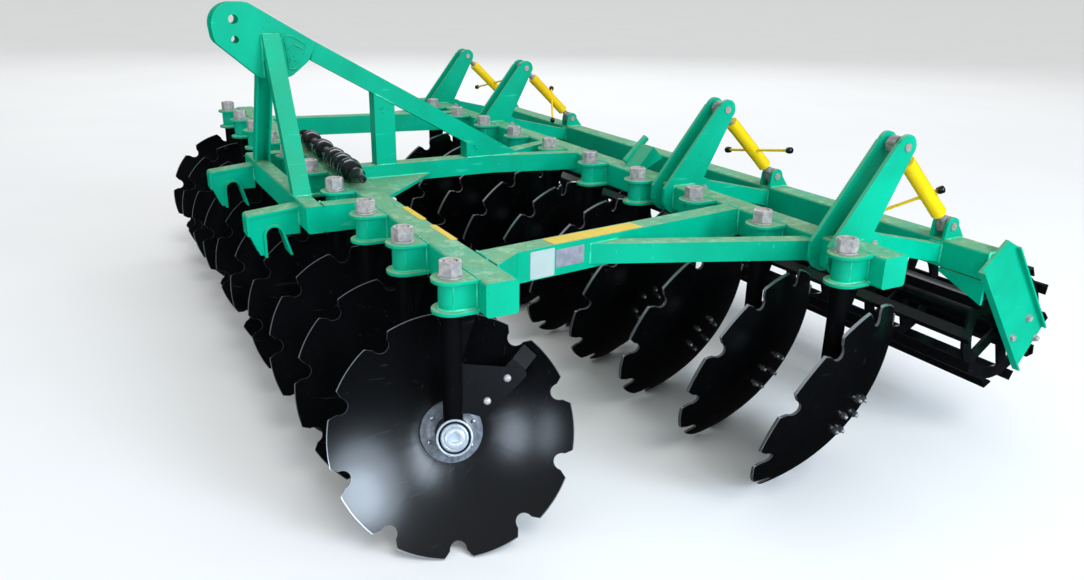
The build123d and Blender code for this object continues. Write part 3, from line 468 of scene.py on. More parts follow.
roller_enamel = finish(
    "roller_enamel", (15, 15, 18), (9, 9, 12), (66, 62, 56), cover=0.35, patch=9.0,
    chip_colour=(40, 39, 40), rough=0.36, coat=0.7, sheen=0.35, peel=0.15, grit=0.3,
    scratch_colour=(56, 56, 60),
)
zinc_plate = finish(
    "zinc_plate", (206, 198, 193), (160, 155, 162), (136, 122, 108), cover=0.1, patch=30.0,
    cloud=60.0, chip_colour=(124, 116, 116), rough=0.32, coat=0.2, metal=0.3, peel=0.2, grit=0.25,
)
cap_silver = finish(
    "cap_silver", (206, 216, 226), (176, 188, 200), (150, 150, 146), cover=0.1, patch=30.0,
    cloud=50.0, chip_colour=(120, 126, 134), chips=0.2, rough=0.3, coat=0.3, metal=0.4, peel=0.15,
    grit=0.2,
)
pin_steel = finish(
    "pin_steel", (196, 190, 176), (150, 144, 132), (130, 120, 100), cover=0.2, patch=40.0,
    cloud=90.0, chip_colour=(104, 96, 84), rough=0.36, coat=0.0, metal=0.35, peel=0.2, grit=0.3,
)
thread_steel = finish(
    "thread_steel", (176, 174, 170), (116, 112, 108), (110, 100, 84), cover=0.2, patch=40.0,
    cloud=80.0, chip_colour=(84, 78, 70), rough=0.38, coat=0.1, metal=0.35, peel=0.2, grit=0.3,
)
yellow_enamel = finish(
    "yellow_enamel", (250, 214, 6), (236, 190, 4), (186, 170, 110), cover=0.2, patch=16.0,
    chip_colour=(150, 118, 20), rough=0.3, coat=0.4, peel=0.12, grit=0.4,
    scratch_colour=(255, 238, 120),
)
yellow_film = finish(
    "yellow_film", (232, 198, 22), (218, 184, 16), (166, 154, 104), cover=0.4, patch=14.0,
    chip_colour=(170, 150, 70), chips=0.2, rough=0.45, coat=0.1, peel=0.05, grit=0.4,
)
white_film = finish(
    "white_film", (178, 194, 192), (158, 174, 172), (160, 164, 146), cover=0.3, patch=20.0,
    chip_colour=(160, 170, 165), chips=0.2, rough=0.45, coat=0.1, peel=0.05, grit=0.4,
)
plate_metal = finish(
    "plate_metal", (168, 170, 180), (142, 144, 156), (140, 136, 120), cover=0.3, patch=20.0,
    cloud=40.0, chip_colour=(108, 108, 118), chips=0.4, rough=0.4, coat=0.0, metal=0.3, peel=0.1,
    grit=0.3,
)
rubber_black = finish(
    "rubber_black", (12, 12, 14), (6, 6, 8), (80, 76, 70), cover=0.25, patch=14.0,
    chip_colour=(36, 36, 39), rough=0.3, coat=1.0, sheen=0.3, peel=0.3, grit=0.2,
    scratch_colour=(64, 64, 70),
)


def dress(material, *nodes):
    for node in nodes:
        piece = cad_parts[node]
        if not piece.material_slots:
            piece.data.materials.append(material)
        for slot in piece.material_slots:
            slot.material = material


dress(green_enamel, "front_beam", "rear_beam", "side_beams", "diagonal_braces", "centre_tube")
dress(green_enamel, "centre_fork", "rear_bracket", "hitch_beam", "hitch_connectors", "lower_link_hooks")
dress(green_enamel, "mast_head", "mast_legs", "mast_strut", "mast_post", "arm_plates")
dress(green_enamel, "roller_beam", "roller_arms", "roller_lugs", "roller_end_plates", "roller_hanger")
dress(stand_enamel, "stands_front", "stands_rear", "scrapers_front", "scrapers_rear")
dress(roller_enamel, "roller_left", "roller_right")
dress(pin_steel, "arm_pins", "lug_pins")
dress(thread_steel, "turnbuckle_upper_rods", "turnbuckle_lower_rods")


# Disc blades: both faces are spheres of one centre, from a flat round the hub out to the rim

SPHERE = (DISC_RADIUS**2 + DISC_DISH**2) / (2 * DISC_DISH)
SPHERE_MIDDLE = SPHERE - DISC_DISH
FLAT_RADIUS = FLANGE_RADIUS + FLANGE_LAND
FLAT_Z = SPHERE_MIDDLE - math.sqrt(SPHERE**2 - FLAT_RADIUS**2)
ARC_POINTS = 14
ROOT_POINTS = 13
SIDE_POINTS = 3
FACE_ROWS = 13
GROUND_WIDTH = 0.0025


def notched_outline():
    """The blade's rim, ten times over: an arc of the disc's circle, then a notch of two slanted sides and a
    round root. Also says how far each point is ground bright: wholly on the arcs, a little in the notches."""
    root = DISC_RADIUS - NOTCH_DEPTH + NOTCH_ROOT_RADIUS
    edge = DISC_RADIUS + DISC_WALL
    slope = (NOTCH_MOUTH / 2 - NOTCH_ROOT_RADIUS) / (edge - root)
    a, b = 1 + slope**2, 2 * slope * (NOTCH_ROOT_RADIUS - slope * root)
    c = (NOTCH_ROOT_RADIUS - slope * root) ** 2 - DISC_RADIUS**2
    corner_x = (-b + math.sqrt(b * b - 4 * a * c)) / (2 * a)
    corner_y = NOTCH_ROOT_RADIUS + slope * (corner_x - root)
    turn = np.linspace(-np.pi / 2, -3 * np.pi / 2, ROOT_POINTS)
    round_root = np.c_[root + NOTCH_ROOT_RADIUS * np.cos(turn), NOTCH_ROOT_RADIUS * np.sin(turn)]
    share = np.linspace(0, 1, SIDE_POINTS + 1)[:-1, None]
    side_in = np.array([corner_x, -corner_y]) * (1 - share) + round_root[0] * share
    corner = math.atan2(corner_y, corner_x)
    share = np.linspace(0, 1, SIDE_POINTS + 2)[1:-1, None]
    side_out = round_root[-1] * (1 - share) + np.array([corner_x, corner_y]) * share
    arc = np.linspace(corner, 2 * np.pi / NOTCHES - corner, ARC_POINTS + 1)[:-1]
    rim = (DISC_RADIUS - RIM_EASE) * np.c_[np.cos(arc), np.sin(arc)]
    tooth = np.concatenate([side_in, round_root, side_out, rim])
    ground = np.r_[np.full(len(tooth) - len(rim), 0.12), np.ones(len(rim))]
    ground[0] = 1.0
    turns = 2 * np.pi / NOTCHES * np.arange(NOTCHES)
    teeth = np.stack([
        tooth[:, 0] * np.cos(turns)[:, None] - tooth[:, 1] * np.sin(turns)[:, None],
        tooth[:, 0] * np.sin(turns)[:, None] + tooth[:, 1] * np.cos(turns)[:, None],
    ], -1)
    return teeth.reshape(-1, 2), np.tile(ground, NOTCHES)


def blade():
    """A dished blade: from the flat round the hub both faces follow spheres of one centre,
    z = c - sqrt(R^2 - r^2), out to the notched rim; points lie at shares of the way from flat to rim."""
    outline, ground = notched_outline()
    reach = np.hypot(outline[:, 0], outline[:, 1])
    ground_start = 1 - GROUND_WIDTH / (DISC_RADIUS - FLAT_RADIUS)
    share = np.r_[1 - (1 - np.linspace(0, 1, FACE_ROWS)[:-1]) ** 1.5, ground_start, 1]
    radius = FLAT_RADIUS + share[:, None] * (reach - FLAT_RADIUS)
    inside = SPHERE_MIDDLE - np.sqrt((SPHERE - DISC_WALL) ** 2 - radius**2)
    outside = SPHERE_MIDDLE - np.sqrt(SPHERE**2 - radius**2)
    flat = outline / reach[:, None] * radius[:, :, None]
    rows = np.concatenate([np.concatenate([flat, inside[:, :, None]], -1),
                           np.concatenate([flat, outside[:, :, None]], -1)[::-1]])
    marks = np.zeros(rows.shape[:2])
    marks[len(share) - 1] = marks[len(share)] = ground
    points, faces = shell(rows)
    return points, faces, marks.ravel()


def disc_axes(side):
    """The axis of a disc leans up by the camber and forwards by the attack; its x axis is level."""
    level = math.cos(CAMBER)
    z = np.array([side * math.cos(ATTACK) * level, -math.sin(ATTACK) * level, math.sin(CAMBER)])
    x = np.array([-z[1], z[0], 0.0])
    x /= np.linalg.norm(x)
    return x, np.cross(z, x), z


def spun(points, degrees):
    a = math.radians(degrees)
    return points @ np.array([[math.cos(a), math.sin(a), 0], [-math.sin(a), math.cos(a), 0], [0, 0, 1]])


def hexagon(flats):
    """The distance from the middle to a hexagon's side at an angle."""
    return lambda angle: flats / 2 / np.cos((angle + np.pi / 6) % (np.pi / 3) - np.pi / 6)


def ring_grid(rows, angle):
    """Rows of (radii, heights) round the angles: each point is (r cos a, r sin a, h)."""
    return np.stack([np.stack([r * np.cos(angle), r * np.sin(angle), h], -1) for r, h in rows])


def hex_bolt(flats, height, origin, axes, turn=0.0):
    """A hexagon with its top corners turned off: the radius follows the hexagon on the sides, and the top
    falls away outside the inscribed circle at 30 degrees."""
    across = hexagon(flats)
    angle = np.arange(36) * 2 * np.pi / 36
    edge = across(angle)
    chamfer = flats / 2 * 0.96
    fall = np.tan(np.pi / 6) * (edge - chamfer)
    one = np.ones_like(angle)
    hole = flats * 0.02
    rows = [
        (hole * one, 0 * one), (edge * 0.985, 0 * one), (edge, 0.03 * height * one), (edge, height - fall),
        ((edge + chamfer) / 2, height - fall / 2), (chamfer * one, height * one), (hole * one, height * one),
    ]
    points = ring_grid(rows, angle + turn)
    return shell(place(points, origin, *axes))


BLADE_POINTS, BLADE_FACES, BLADE_GROUND = blade()
INNER_FLAT = FLAT_Z + DISC_WALL
FLANGE_FRONT = INNER_FLAT + FLANGE_THICK
NECK_FRONT = -HOUSING_BACK - 0.002
# Flange, neck and shaft of a hub, as (radius, height along the disc's axis)
HUB_PROFILE = [
    (0.0, INNER_FLAT), (FLANGE_RADIUS - 0.001, INNER_FLAT), (FLANGE_RADIUS, INNER_FLAT + 0.001),
    (FLANGE_RADIUS, FLANGE_FRONT - 0.0015), (FLANGE_RADIUS - 0.0015, FLANGE_FRONT),
    (NECK_RADIUS + 0.014, FLANGE_FRONT), (NECK_RADIUS + 0.012, FLANGE_FRONT + 0.0015),
    (NECK_RADIUS + 0.003, FLANGE_FRONT + 0.0025), (NECK_RADIUS, FLANGE_FRONT + 0.004),
    (NECK_RADIUS, NECK_FRONT), (SHAFT_RADIUS, NECK_FRONT), (SHAFT_RADIUS, -0.002), (0.0, -0.002),
]
# Bearing rim, groove and crowned cap with its dimple, as (radius, height over the housing's face)
CAP_PROFILE = [
    (0.0, -0.001), (0.0470, -0.001), (0.0482, 0.0002), (0.0482, 0.0034), (0.0468, 0.0050),
    (0.0442, 0.0052), (0.0428, 0.0040), (0.0420, 0.0012), (0.0370, 0.0010), (0.0362, 0.0030),
    (0.0358, 0.0070), (0.0345, 0.0086), (0.0322, 0.0088), (0.0312, 0.0072), (0.0296, 0.0070),
    (0.0286, 0.0092), (0.0264, 0.0118), (0.0235, 0.0130), (0.0142, 0.0131), (0.0128, 0.0124),
    (0.0112, 0.0102), (0.0040, 0.0096), (0.0, 0.0096),
]
GROOVE_PROFILE = [(0.0372, 0.0), (0.0418, 0.0), (0.0418, 0.0022), (0.0372, 0.0022)]
DIMPLE_RADIUS = 0.0145
WASHER_PROFILE = [
    (0.0, 0.0), (WASHER_RADIUS - 0.001, 0.0), (WASHER_RADIUS, 0.001), (WASHER_RADIUS, 0.0035),
    (WASHER_RADIUS - 0.0015, WASHER_THICK), (0.0, WASHER_THICK),
]
STUD_PROFILE = [
    (0.0, 0.0), (0.0165, 0.0), (0.0165, 0.004), (0.0145, 0.0062), (0.004, 0.0062), (0.003, 0.0050),
    (0.0, 0.0050),
]
STUD_TIP_PROFILE = [(0, 0.008), (0.0055, 0.008), (0.0055, 0.0145), (0.0044, 0.016), (0, 0.016)]
DOME_PROFILE = [
    (0.0, 0.0), (0.010, 0.0), (0.0102, 0.0012), (0.009, 0.0042), (0.006, 0.0062), (0.003, 0.0070),
    (0.0, 0.0072),
]


def triangle_dimple(angle, radius, height):
    """Draws the cap's inner rings in towards a rounded triangle."""
    near_side = np.cos((angle + np.pi / 6) % (2 * np.pi / 3) - np.pi / 3)
    shape = 0.45 + 0.55 * 0.72 / np.maximum(near_side, 0.5)
    return np.where(radius < DIMPLE_RADIUS, radius * shape, radius)


COUNTERSINK = 0.003


def hex_nut(flats, height, bore, origin, axes, turn):
    """A hexagon nut: hexagon sides whose corners fall away at both ends as in hex_bolt, and a bore with a
    countersink, closed round through itself."""
    angle = np.arange(48) * 2 * np.pi / 48
    edge = hexagon(flats)(angle)
    ring = flats / 2 * 0.95
    fall = np.tan(np.pi / 6) * (edge - ring)
    one = np.ones_like(angle)
    rows = [
        (bore * one, 0 * one), (ring * one, 0 * one), ((edge + ring) / 2, fall / 2), (edge, fall),
        (edge, height - fall), ((edge + ring) / 2, height - fall / 2), (ring * one, height * one),
        ((bore + COUNTERSINK) * one, height * one), (bore * one, (height - COUNTERSINK) * one),
    ]
    points = ring_grid(rows, angle + turn)
    return shell(place(points, origin, *axes), wrap_rows=True)


LEVEL = (np.array([1.0, 0, 0]), np.array([0, 1.0, 0]), np.array([0, 0, 1.0]))
HUB_BOLTS = 6
FIRST_HUB_BOLT = 22
# Hexagons as (across flats, height)
HUB_BOLT_HEAD = (0.010, 0.005)
BLADE_NUT = (0.017, 0.009)
BORE_GAP = 0.0003
# The scraper bracket's turn about a disc's axis, for each side that hollow faces look to
BRACKET_TURNS = {1: 45, -1: 135}
# How bright the lacquer's "ground" mark makes a nut, and a stud's tip, behind a blade
NUT_SHINE, TIP_SHINE = 0.08, 0.7


def hub_bolt_spots(axes, turned_by):
    """Angle and place of each bolt on the hub's bolt circle."""
    for k in range(HUB_BOLTS):
        a = math.radians(FIRST_HUB_BOLT + 360 / HUB_BOLTS * k + turned_by)
        yield a, HUB_BOLT_CIRCLE * (math.cos(a) * axes[0] + math.sin(a) * axes[1])


def build_disc(name, origin, axes, turned_by):
    """A disc's two pieces: its blade with nuts and studs behind it, and its hub with bolts in front."""
    back = (axes[0], -axes[1], -axes[2])
    blades = [(place(spun(BLADE_POINTS, turned_by - 90), origin, *axes), BLADE_FACES)]
    blade_marks = [BLADE_GROUND]
    hub = [turned(HUB_PROFILE, 48, origin, axes)]
    hub_marks = [np.zeros(len(hub[0][0]))]
    for a, spot in hub_bolt_spots(axes, turned_by):
        hub.append(hex_bolt(*HUB_BOLT_HEAD, origin + spot + FLANGE_FRONT * axes[2], axes, a))
        hub_marks.append(np.ones(len(hub[-1][0])))
        seat = origin + spot + FLAT_Z * axes[2]
        blades += [hex_bolt(*BLADE_NUT, seat, back, a), turned(STUD_TIP_PROFILE, 12, seat, back)]
        blade_marks += [np.full(len(blades[-2][0]), NUT_SHINE), np.full(len(blades[-1][0]), TIP_SHINE)]
    for kind, skins, look, marks in (
        ("blade", blades, disc_lacquer, blade_marks), ("hub", hub, hub_enamel, hub_marks),
    ):
        build(f"{kind}_{name}", skins, look, f"disc_{name}", [f"disc_{name}"],
              marks={"ground": np.concatenate(marks)})


for row, row_y, middle, side in ROWS:
    axes = disc_axes(side)
    bracket_turn = math.radians(BRACKET_TURNS[side])
    bracket_way = math.cos(bracket_turn) * axes[0] + math.sin(bracket_turn) * axes[1]
    caps, grooves, nuts, studs, bracket_bolts = [], [], [], [], []
    for index, x in enumerate(row_xs(middle)):
        origin = np.array([x, row_y, HUB_Z])
        build_disc(f"{row}_{index + 1}", origin, axes, NOTCH_TURNS[index])
        face = origin + HOUSING_FRONT * axes[2]
        caps.append(turned(CAP_PROFILE, 60, face, axes, triangle_dimple))
        grooves.append(turned(GROOVE_PROFILE, 60, face, axes, ring=True))
        top = np.array([x, row_y, BEAM_TOP])
        seat = top + [0, 0, WASHER_THICK]
        # Each nut stops at a turn of its own
        turn = math.radians((37 * index + 11) % 60)
        nuts.append(turned(WASHER_PROFILE, 40, top, LEVEL))
        nuts.append(hex_nut(NUT_FLATS, NUT_HEIGHT, STUD_RADIUS + BORE_GAP, seat, LEVEL, turn))
        studs.append(turned(STUD_PROFILE, 32, seat + [0, 0, NUT_HEIGHT - STUD_RECESS - 0.005], LEVEL))
        for reach in BRACKET_BOLTS:
            spot = origin + reach * bracket_way + BRACKET_FACE * axes[2]
            bracket_bolts.append(turned(DOME_PROFILE, 24, spot, axes))
    build(f"bearing_caps_{row}", caps, cap_silver, "frame", [f"hub_caps_{row}"], crease=50)
    build(f"cap_grooves_{row}", grooves, stand_enamel, "frame")
    build(f"stand_nut_set_{row}", nuts, zinc_plate, "frame", [f"stand_nuts_{row}"])
    build(f"stud_ends_{row}", studs, pin_steel, "frame")
    build(f"bracket_bolts_{row}", bracket_bolts, zinc_plate, "frame")


# Weld beads

WELD, THIN_WELD = 0.0045, 0.004
SIDE_HALF = 0.035
# Each side beam: the sign of its x, the x of its front end and rear end, and the x of its brace's rear end
SIDES = ((1, 1.240, 1.110, 1.480), (-1, 1.293, 1.155, 1.495))
CORNER_GUSSET = 0.062
BRACE_START = 0.345
BRACE_WIDTH = 0.050
BRACE_DEPTH = 0.060
BRACE_DROP = 0.018
TUBE_HALF = 0.035
GUSSET_Z = BEAM_TOP - 0.047
GUSSET_RUN = 0.330
GUSSET_OUT = 0.365
CROSS_Y = FRONT_ROW_Y - 0.135
CROSS_TOP = BEAM_TOP - 0.015
CROSS_DEPTH = 0.060
CROSS_HALF = 0.500
CONNECTOR = 0.060
LINK_HALF = 0.365
HOOK_HALF = 0.030
ROOT_HALF = 0.037
ROOT_TOP = CROSS_TOP - 0.020
LEG_FOOT = 0.340
LEG_WIDTH = 0.0458
LEG_HALF = 0.030
HEAD_Y = FRONT_ROW_Y - 0.223
HEAD_SIDE = 0.042
HEAD_SEAM_LOW, HEAD_SEAM_HIGH = 1.096, 1.240
MAST_HEIGHT = 1.290
STRUT_TOP = (HEAD_Y + 0.300, MAST_HEIGHT - 0.092)
STRUT_START = FRONT_BACK + 0.493
STRUT_END = FRONT_ROW_Y + 0.879
STRUT_HALF = 0.030
STRUT_DEPTH = 0.065
POST_Y = FRONT_ROW_Y + 0.300
POST_HALF = 0.040
ARM_PLACES = (1.538, 0.754, -0.806, -1.538)
ARM_HALF = 0.058 / 2 + 0.012
ROLLER_ARM_HALF = 0.023
ROLLER_ARM_DEPTH = 0.078
LUG_HALF = 0.028
ROLLER_FACE = REAR_BACK + 0.382
ROLLER_TOP = BEAM_TOP - 0.053
END_X = 1.724
# The slot weld in each head plate, as runs of (y from the front row, z)
SLOT_WELD = (
    ((-0.049, 1.119), (-0.051, 1.156), (-0.054, 1.190), (-0.058, 1.212), (-0.055, 1.228), (-0.046, 1.234),
     (-0.029, 1.231), (0.011, 1.206), (0.014, 1.195), (0.006, 1.187), (-0.004, 1.192), (-0.029, 1.205)),
    ((-0.049, 1.119), (-0.020, 1.121)),
)


def horseshoe(radius, flare, turns=33):
    """Points round a socket, from the beam's face on one side to the other: straight sides that flare a
    little, and a half circle away from the beam."""
    a = np.linspace(0, -np.pi, turns)
    bend = np.c_[radius * np.cos(a), radius * np.sin(a)]
    foot = SETBACK - 0.0004
    return np.concatenate([[(radius + flare, foot)], bend, [(-radius - flare, foot)]])


def socket_skins(x, y):
    """Two plates of the horseshoe outline, and between them the bent wall: a strip of even thickness whose
    section is carried round the horseshoe."""
    skins = []
    for z in (BEAM_LOW, BEAM_TOP - SOCKET_PLATE):
        skins.append(slab(horseshoe(SOCKET_RADIUS + SOCKET_LIP, 0.0), SOCKET_PLATE, (x, y, z), LEVEL, 0.0012))
    outer = horseshoe(SOCKET_RADIUS, SOCKET_FLARE)
    inner = horseshoe(SOCKET_RADIUS - SOCKET_WALL, SOCKET_FLARE)
    low, high = BEAM_LOW + SOCKET_PLATE, BEAM_TOP - SOCKET_PLATE
    corners = [(outer, low), (outer, high), (inner, high), (inner, low)]
    strip = np.stack([np.c_[path, np.full(len(path), z)] for path, z in corners], axis=1)
    skins.append(shell(strip + np.array([x, y, 0.0])))
    return skins


def socket_beads(x, y):
    """Both plates' seams round the bent wall, the wall's upright seams, its seams on the beam, and the
    plates' seams on the beam."""
    where = np.array([x, y])
    wall = where + horseshoe(SOCKET_RADIUS + 0.0008, SOCKET_FLARE)
    low, high = BEAM_LOW + SOCKET_PLATE, BEAM_TOP - SOCKET_PLATE
    made = []
    for z, radius, seed in ((high, 0.0026, x), (low, 0.0042, x + 1)):
        made.append(bead(np.c_[wall, np.full(len(wall), z)], radius, seed=seed))
    for a in (SOCKET_SEAM, np.pi - SOCKET_SEAM):
        seam = where + (SOCKET_RADIUS + 0.0002) * np.array([math.cos(a), math.sin(a)])
        made.append(bead([(*seam, low + 0.003), (*seam, high - 0.002)], 0.0014, pitch=0.012, seed=x))
    back = y + SETBACK
    for side in (1, -1):
        edge = x + side * (SOCKET_RADIUS + SOCKET_FLARE)
        made.append(bead([(edge, back, low + 0.002), (edge, back, high - 0.002)], 0.0034, seed=x))
    reach = SOCKET_RADIUS + SOCKET_LIP + 0.004
    for z in (low, BEAM_TOP):
        made.append(bead([(x - reach, back, z), (x + reach, back, z)], 0.0038, seed=x))
    return made


def over(start, end, low, high):
    """The corners of a seam that goes up at one (x, y), level across to the other, and down there."""
    return [(*start, low), (*start, high), (*end, high), (*end, low)]


def side_seams(sign, front_x, rear_x, brace_x):
    """Seams of a side beam at its two ends, of its corner gusset, and of its brace at both ends."""
    made = []
    for x, y in ((front_x, FRONT_BACK), (rear_x, REAR_FACE)):
        ends = over((sign * (x - SIDE_HALF), y), (sign * (x + SIDE_HALF), y), BEAM_LOW, BEAM_TOP)
        made.append(bead(ends, WELD, seed=x))
    corner = (sign * (front_x + SIDE_HALF + CORNER_GUSSET), FRONT_BACK)
    made.append(bead([(*corner, BEAM_LOW), (*corner, BEAM_TOP)], WELD))
    slope = (rear_x - front_x) / (REAR_FACE - FRONT_BACK)
    x, y = front_x + SIDE_HALF + slope * BRACE_START, FRONT_BACK + BRACE_START
    lean = (brace_x - x) / (REAR_FACE - y)
    step = BRACE_WIDTH * math.hypot(1, lean)
    join = step / (lean - slope)
    top = BEAM_TOP - BRACE_DROP
    low = top - BRACE_DEPTH
    made.append(bead(over((sign * x, y), (sign * (x + slope * join), y + join), low, top), THIN_WELD))
    tail = [(sign * brace_x, REAR_FACE, low), (sign * brace_x, REAR_FACE, top),
            (sign * (brace_x - step), REAR_FACE, top)]
    made.append(bead(tail, THIN_WELD))
    return made


def gusset_seams(sign):
    """Seams of the flat gusset beside the centre tube, along the tube and along the front beam."""
    corner = (sign * TUBE_HALF, FRONT_BACK, GUSSET_Z)
    along = (sign * TUBE_HALF, FRONT_BACK + GUSSET_RUN, GUSSET_Z)
    across = (sign * (TUBE_HALF + GUSSET_OUT), FRONT_BACK, GUSSET_Z)
    return [bead([corner, end], THIN_WELD) for end in (along, across)]


def hitch_seams(sign):
    """Seams of a connector, a hook and a mast leg on the hitch's cross beam, and of the leg's head plate."""
    low = CROSS_TOP - BEAM
    inner, outer = sign * (CROSS_HALF - CONNECTOR), sign * CROSS_HALF
    made = []
    for y, end in ((FRONT_FACE, outer), (CROSS_Y + CROSS_DEPTH, inner)):
        made.append(bead(over((inner, y), (end + sign * 0.001, y), low, CROSS_TOP), WELD))
    for x in (sign * (LINK_HALF - HOOK_HALF), sign * (LINK_HALF + HOOK_HALF)):
        made.append(bead([(x, CROSS_Y, low + 0.006), (x, CROSS_Y, ROOT_TOP - 0.008)], WELD))
    root = [(sign * (LINK_HALF + reach), CROSS_Y, ROOT_TOP) for reach in (-ROOT_HALF, ROOT_HALF)]
    made.append(bead(root, WELD))
    middle = CROSS_Y + CROSS_DEPTH / 2
    front, back = middle - LEG_HALF, middle + LEG_HALF
    foot = ((-LEG_WIDTH, back), (0.0, back), (0.0, front), (-LEG_WIDTH, front))
    made.append(bead([(sign * (LEG_FOOT + reach), y, CROSS_TOP) for reach, y in foot], WELD))
    side = sign * HEAD_SIDE
    for y in (front, back):
        made.append(bead([(side, y, HEAD_SEAM_LOW), (side, y, HEAD_SEAM_HIGH)], THIN_WELD))
    made.append(bead([(side, front, HEAD_SEAM_HIGH), (side, back, HEAD_SEAM_HIGH)], THIN_WELD))
    return made


def strut_seams(sign):
    """Seams of the strut where it enters the head plates, of the post on the centre tube, of the strut's
    foot on the tube, and of the post under the strut."""
    x = sign * STRUT_HALF
    front, back = POST_Y - POST_HALF, POST_Y + POST_HALF
    entry = [(x, HEAD_Y + 0.276, MAST_HEIGHT - 0.080), (x, HEAD_Y + 0.244, MAST_HEIGHT - 0.146)]
    made = [bead(entry, THIN_WELD)]
    for y in (front, back):
        made.append(bead([(-STRUT_HALF, y, BEAM_TOP), (STRUT_HALF, y, BEAM_TOP)], WELD))
    for start, end in ((front, back), (STRUT_START, STRUT_END)):
        made.append(bead([(x, start, BEAM_TOP), (x, end, BEAM_TOP)], WELD))
    lean = (STRUT_TOP[1] - BEAM_TOP) / (STRUT_END - STRUT_TOP[0])
    drop = STRUT_DEPTH * math.hypot(1, lean)
    under = [(x, y, STRUT_TOP[1] - drop - (y - STRUT_TOP[0]) * lean) for y in (front, back)]
    made.append(bead(under, THIN_WELD))
    return made


def slot_seams(sign):
    """The slot weld of a head plate, a hair outside its face."""
    x = sign * (HEAD_SIDE + 0.0002)
    return [bead([(x, y + FRONT_ROW_Y, z) for y, z in run], 0.0030) for run in SLOT_WELD]


def arm_seams(place_x):
    """Seams of two arm plates on the rear beam, and of a roller arm and its lug on the roller beam."""
    on_frame, on_roller = [], []
    for sign in (1, -1):
        x = place_x + sign * ARM_HALF
        plate = over((x, REAR_FACE), (x, REAR_BACK), BEAM_LOW + 0.008, BEAM_TOP)
        on_frame.append(bead(plate, 0.0042, seed=x))
        x = place_x + sign * ROLLER_ARM_HALF
        side = [(x, ROLLER_FACE, ROLLER_TOP - ROLLER_ARM_DEPTH), (x, ROLLER_FACE, ROLLER_TOP - 0.014)]
        on_roller.append(bead(side, THIN_WELD, seed=x))
        x = place_x + sign * LUG_HALF
        lug = [(x, ROLLER_FACE + 0.008, ROLLER_TOP), (x, ROLLER_FACE + BEAM - 0.008, ROLLER_TOP)]
        on_roller.append(bead(lug, 0.0038, seed=x))
    ends = (place_x - ROLLER_ARM_HALF, place_x + ROLLER_ARM_HALF)
    on_roller.append(bead([(x, ROLLER_FACE, ROLLER_TOP - 0.0135) for x in ends], THIN_WELD))
    return on_frame, on_roller


frame_beads, roller_beads, slot_beads = [], [], []
for row, row_y, middle, side in ROWS:
    skins = []
    for x in row_xs(middle):
        skins += socket_skins(x, row_y)
        frame_beads += socket_beads(x, row_y)
    build(f"socket_set_{row}", skins, green_enamel, "frame", [f"sockets_{row}"])
for side_beam in SIDES:
    sign = side_beam[0]
    frame_beads += side_seams(*side_beam) + gusset_seams(sign) + hitch_seams(sign) + strut_seams(sign)
    slot_beads += slot_seams(sign)
for place_x in ARM_PLACES:
    on_frame, on_roller = arm_seams(place_x)
    frame_beads += on_frame
    roller_beads += on_roller
for x in (END_X - 0.0005, 0.0005 - END_X):
    ends = over((x, ROLLER_FACE), (x, ROLLER_FACE + BEAM), ROLLER_TOP - BEAM, ROLLER_TOP)
    roller_beads.append(bead(ends + ends[:1], WELD))
# The beads wear the lighter green, whose lightness and near-white chips are painted highlights
build("frame_weld_beads", frame_beads, weld_green_painted_highlights, "frame", crease=60)
build("head_slot_welds", slot_beads, green_enamel, "frame", crease=60)
build("roller_weld_beads", roller_beads, weld_green_painted_highlights, "roller_frame", crease=60)


# Turnbuckles

ARM_PIN = np.array([REAR_FACE + 0.217, BEAM_TOP + 0.258])
LUG_PIN = np.array([ROLLER_FACE + 0.032, ROLLER_TOP + 0.040])
LINK = (LUG_PIN - ARM_PIN) / np.linalg.norm(LUG_PIN - ARM_PIN)
BARREL_LOW, BARREL_HIGH = 0.078, 0.335
BARREL_RADIUS = 0.024
BARREL_BORE = 0.0125
HANDLE_PLACE = 0.240
HANDLE_REACH = 0.145
BAR_RADIUS = 0.005
KNOB_RADIUS = 0.012
# Each handle: its turn about the barrel in degrees, and how far it is slid through it
HANDLES = ((-42.0, -0.105), (-12.0, 0.025), (37.0, 0.050), (-20.0, 0.0))
# A barrel's wall as (below its full radius, height): bands at both ends stand a little proud
BARREL_WALL = (
    (0.002, BARREL_LOW), (0.0, BARREL_LOW + 0.002), (0.0, BARREL_LOW + 0.03),
    (0.0006, BARREL_LOW + 0.033), (0.0006, BARREL_HIGH - 0.033), (0.0, BARREL_HIGH - 0.03),
    (0.0, BARREL_HIGH - 0.002), (0.002, BARREL_HIGH),
)
# A knob as (radius, past its start)
KNOB_PROFILE = (
    (0.0, 0.0), (0.008, 0.0), (0.0105, 0.002), (KNOB_RADIUS, 0.010), (KNOB_RADIUS, 0.018), (0.0105, 0.022),
    (0.006, 0.024), (0.0, 0.024),
)
link_z = np.array([0.0, *LINK])
link_x = np.array([1.0, 0.0, 0.0])
link_axes = (link_x, np.cross(link_z, link_x), link_z)

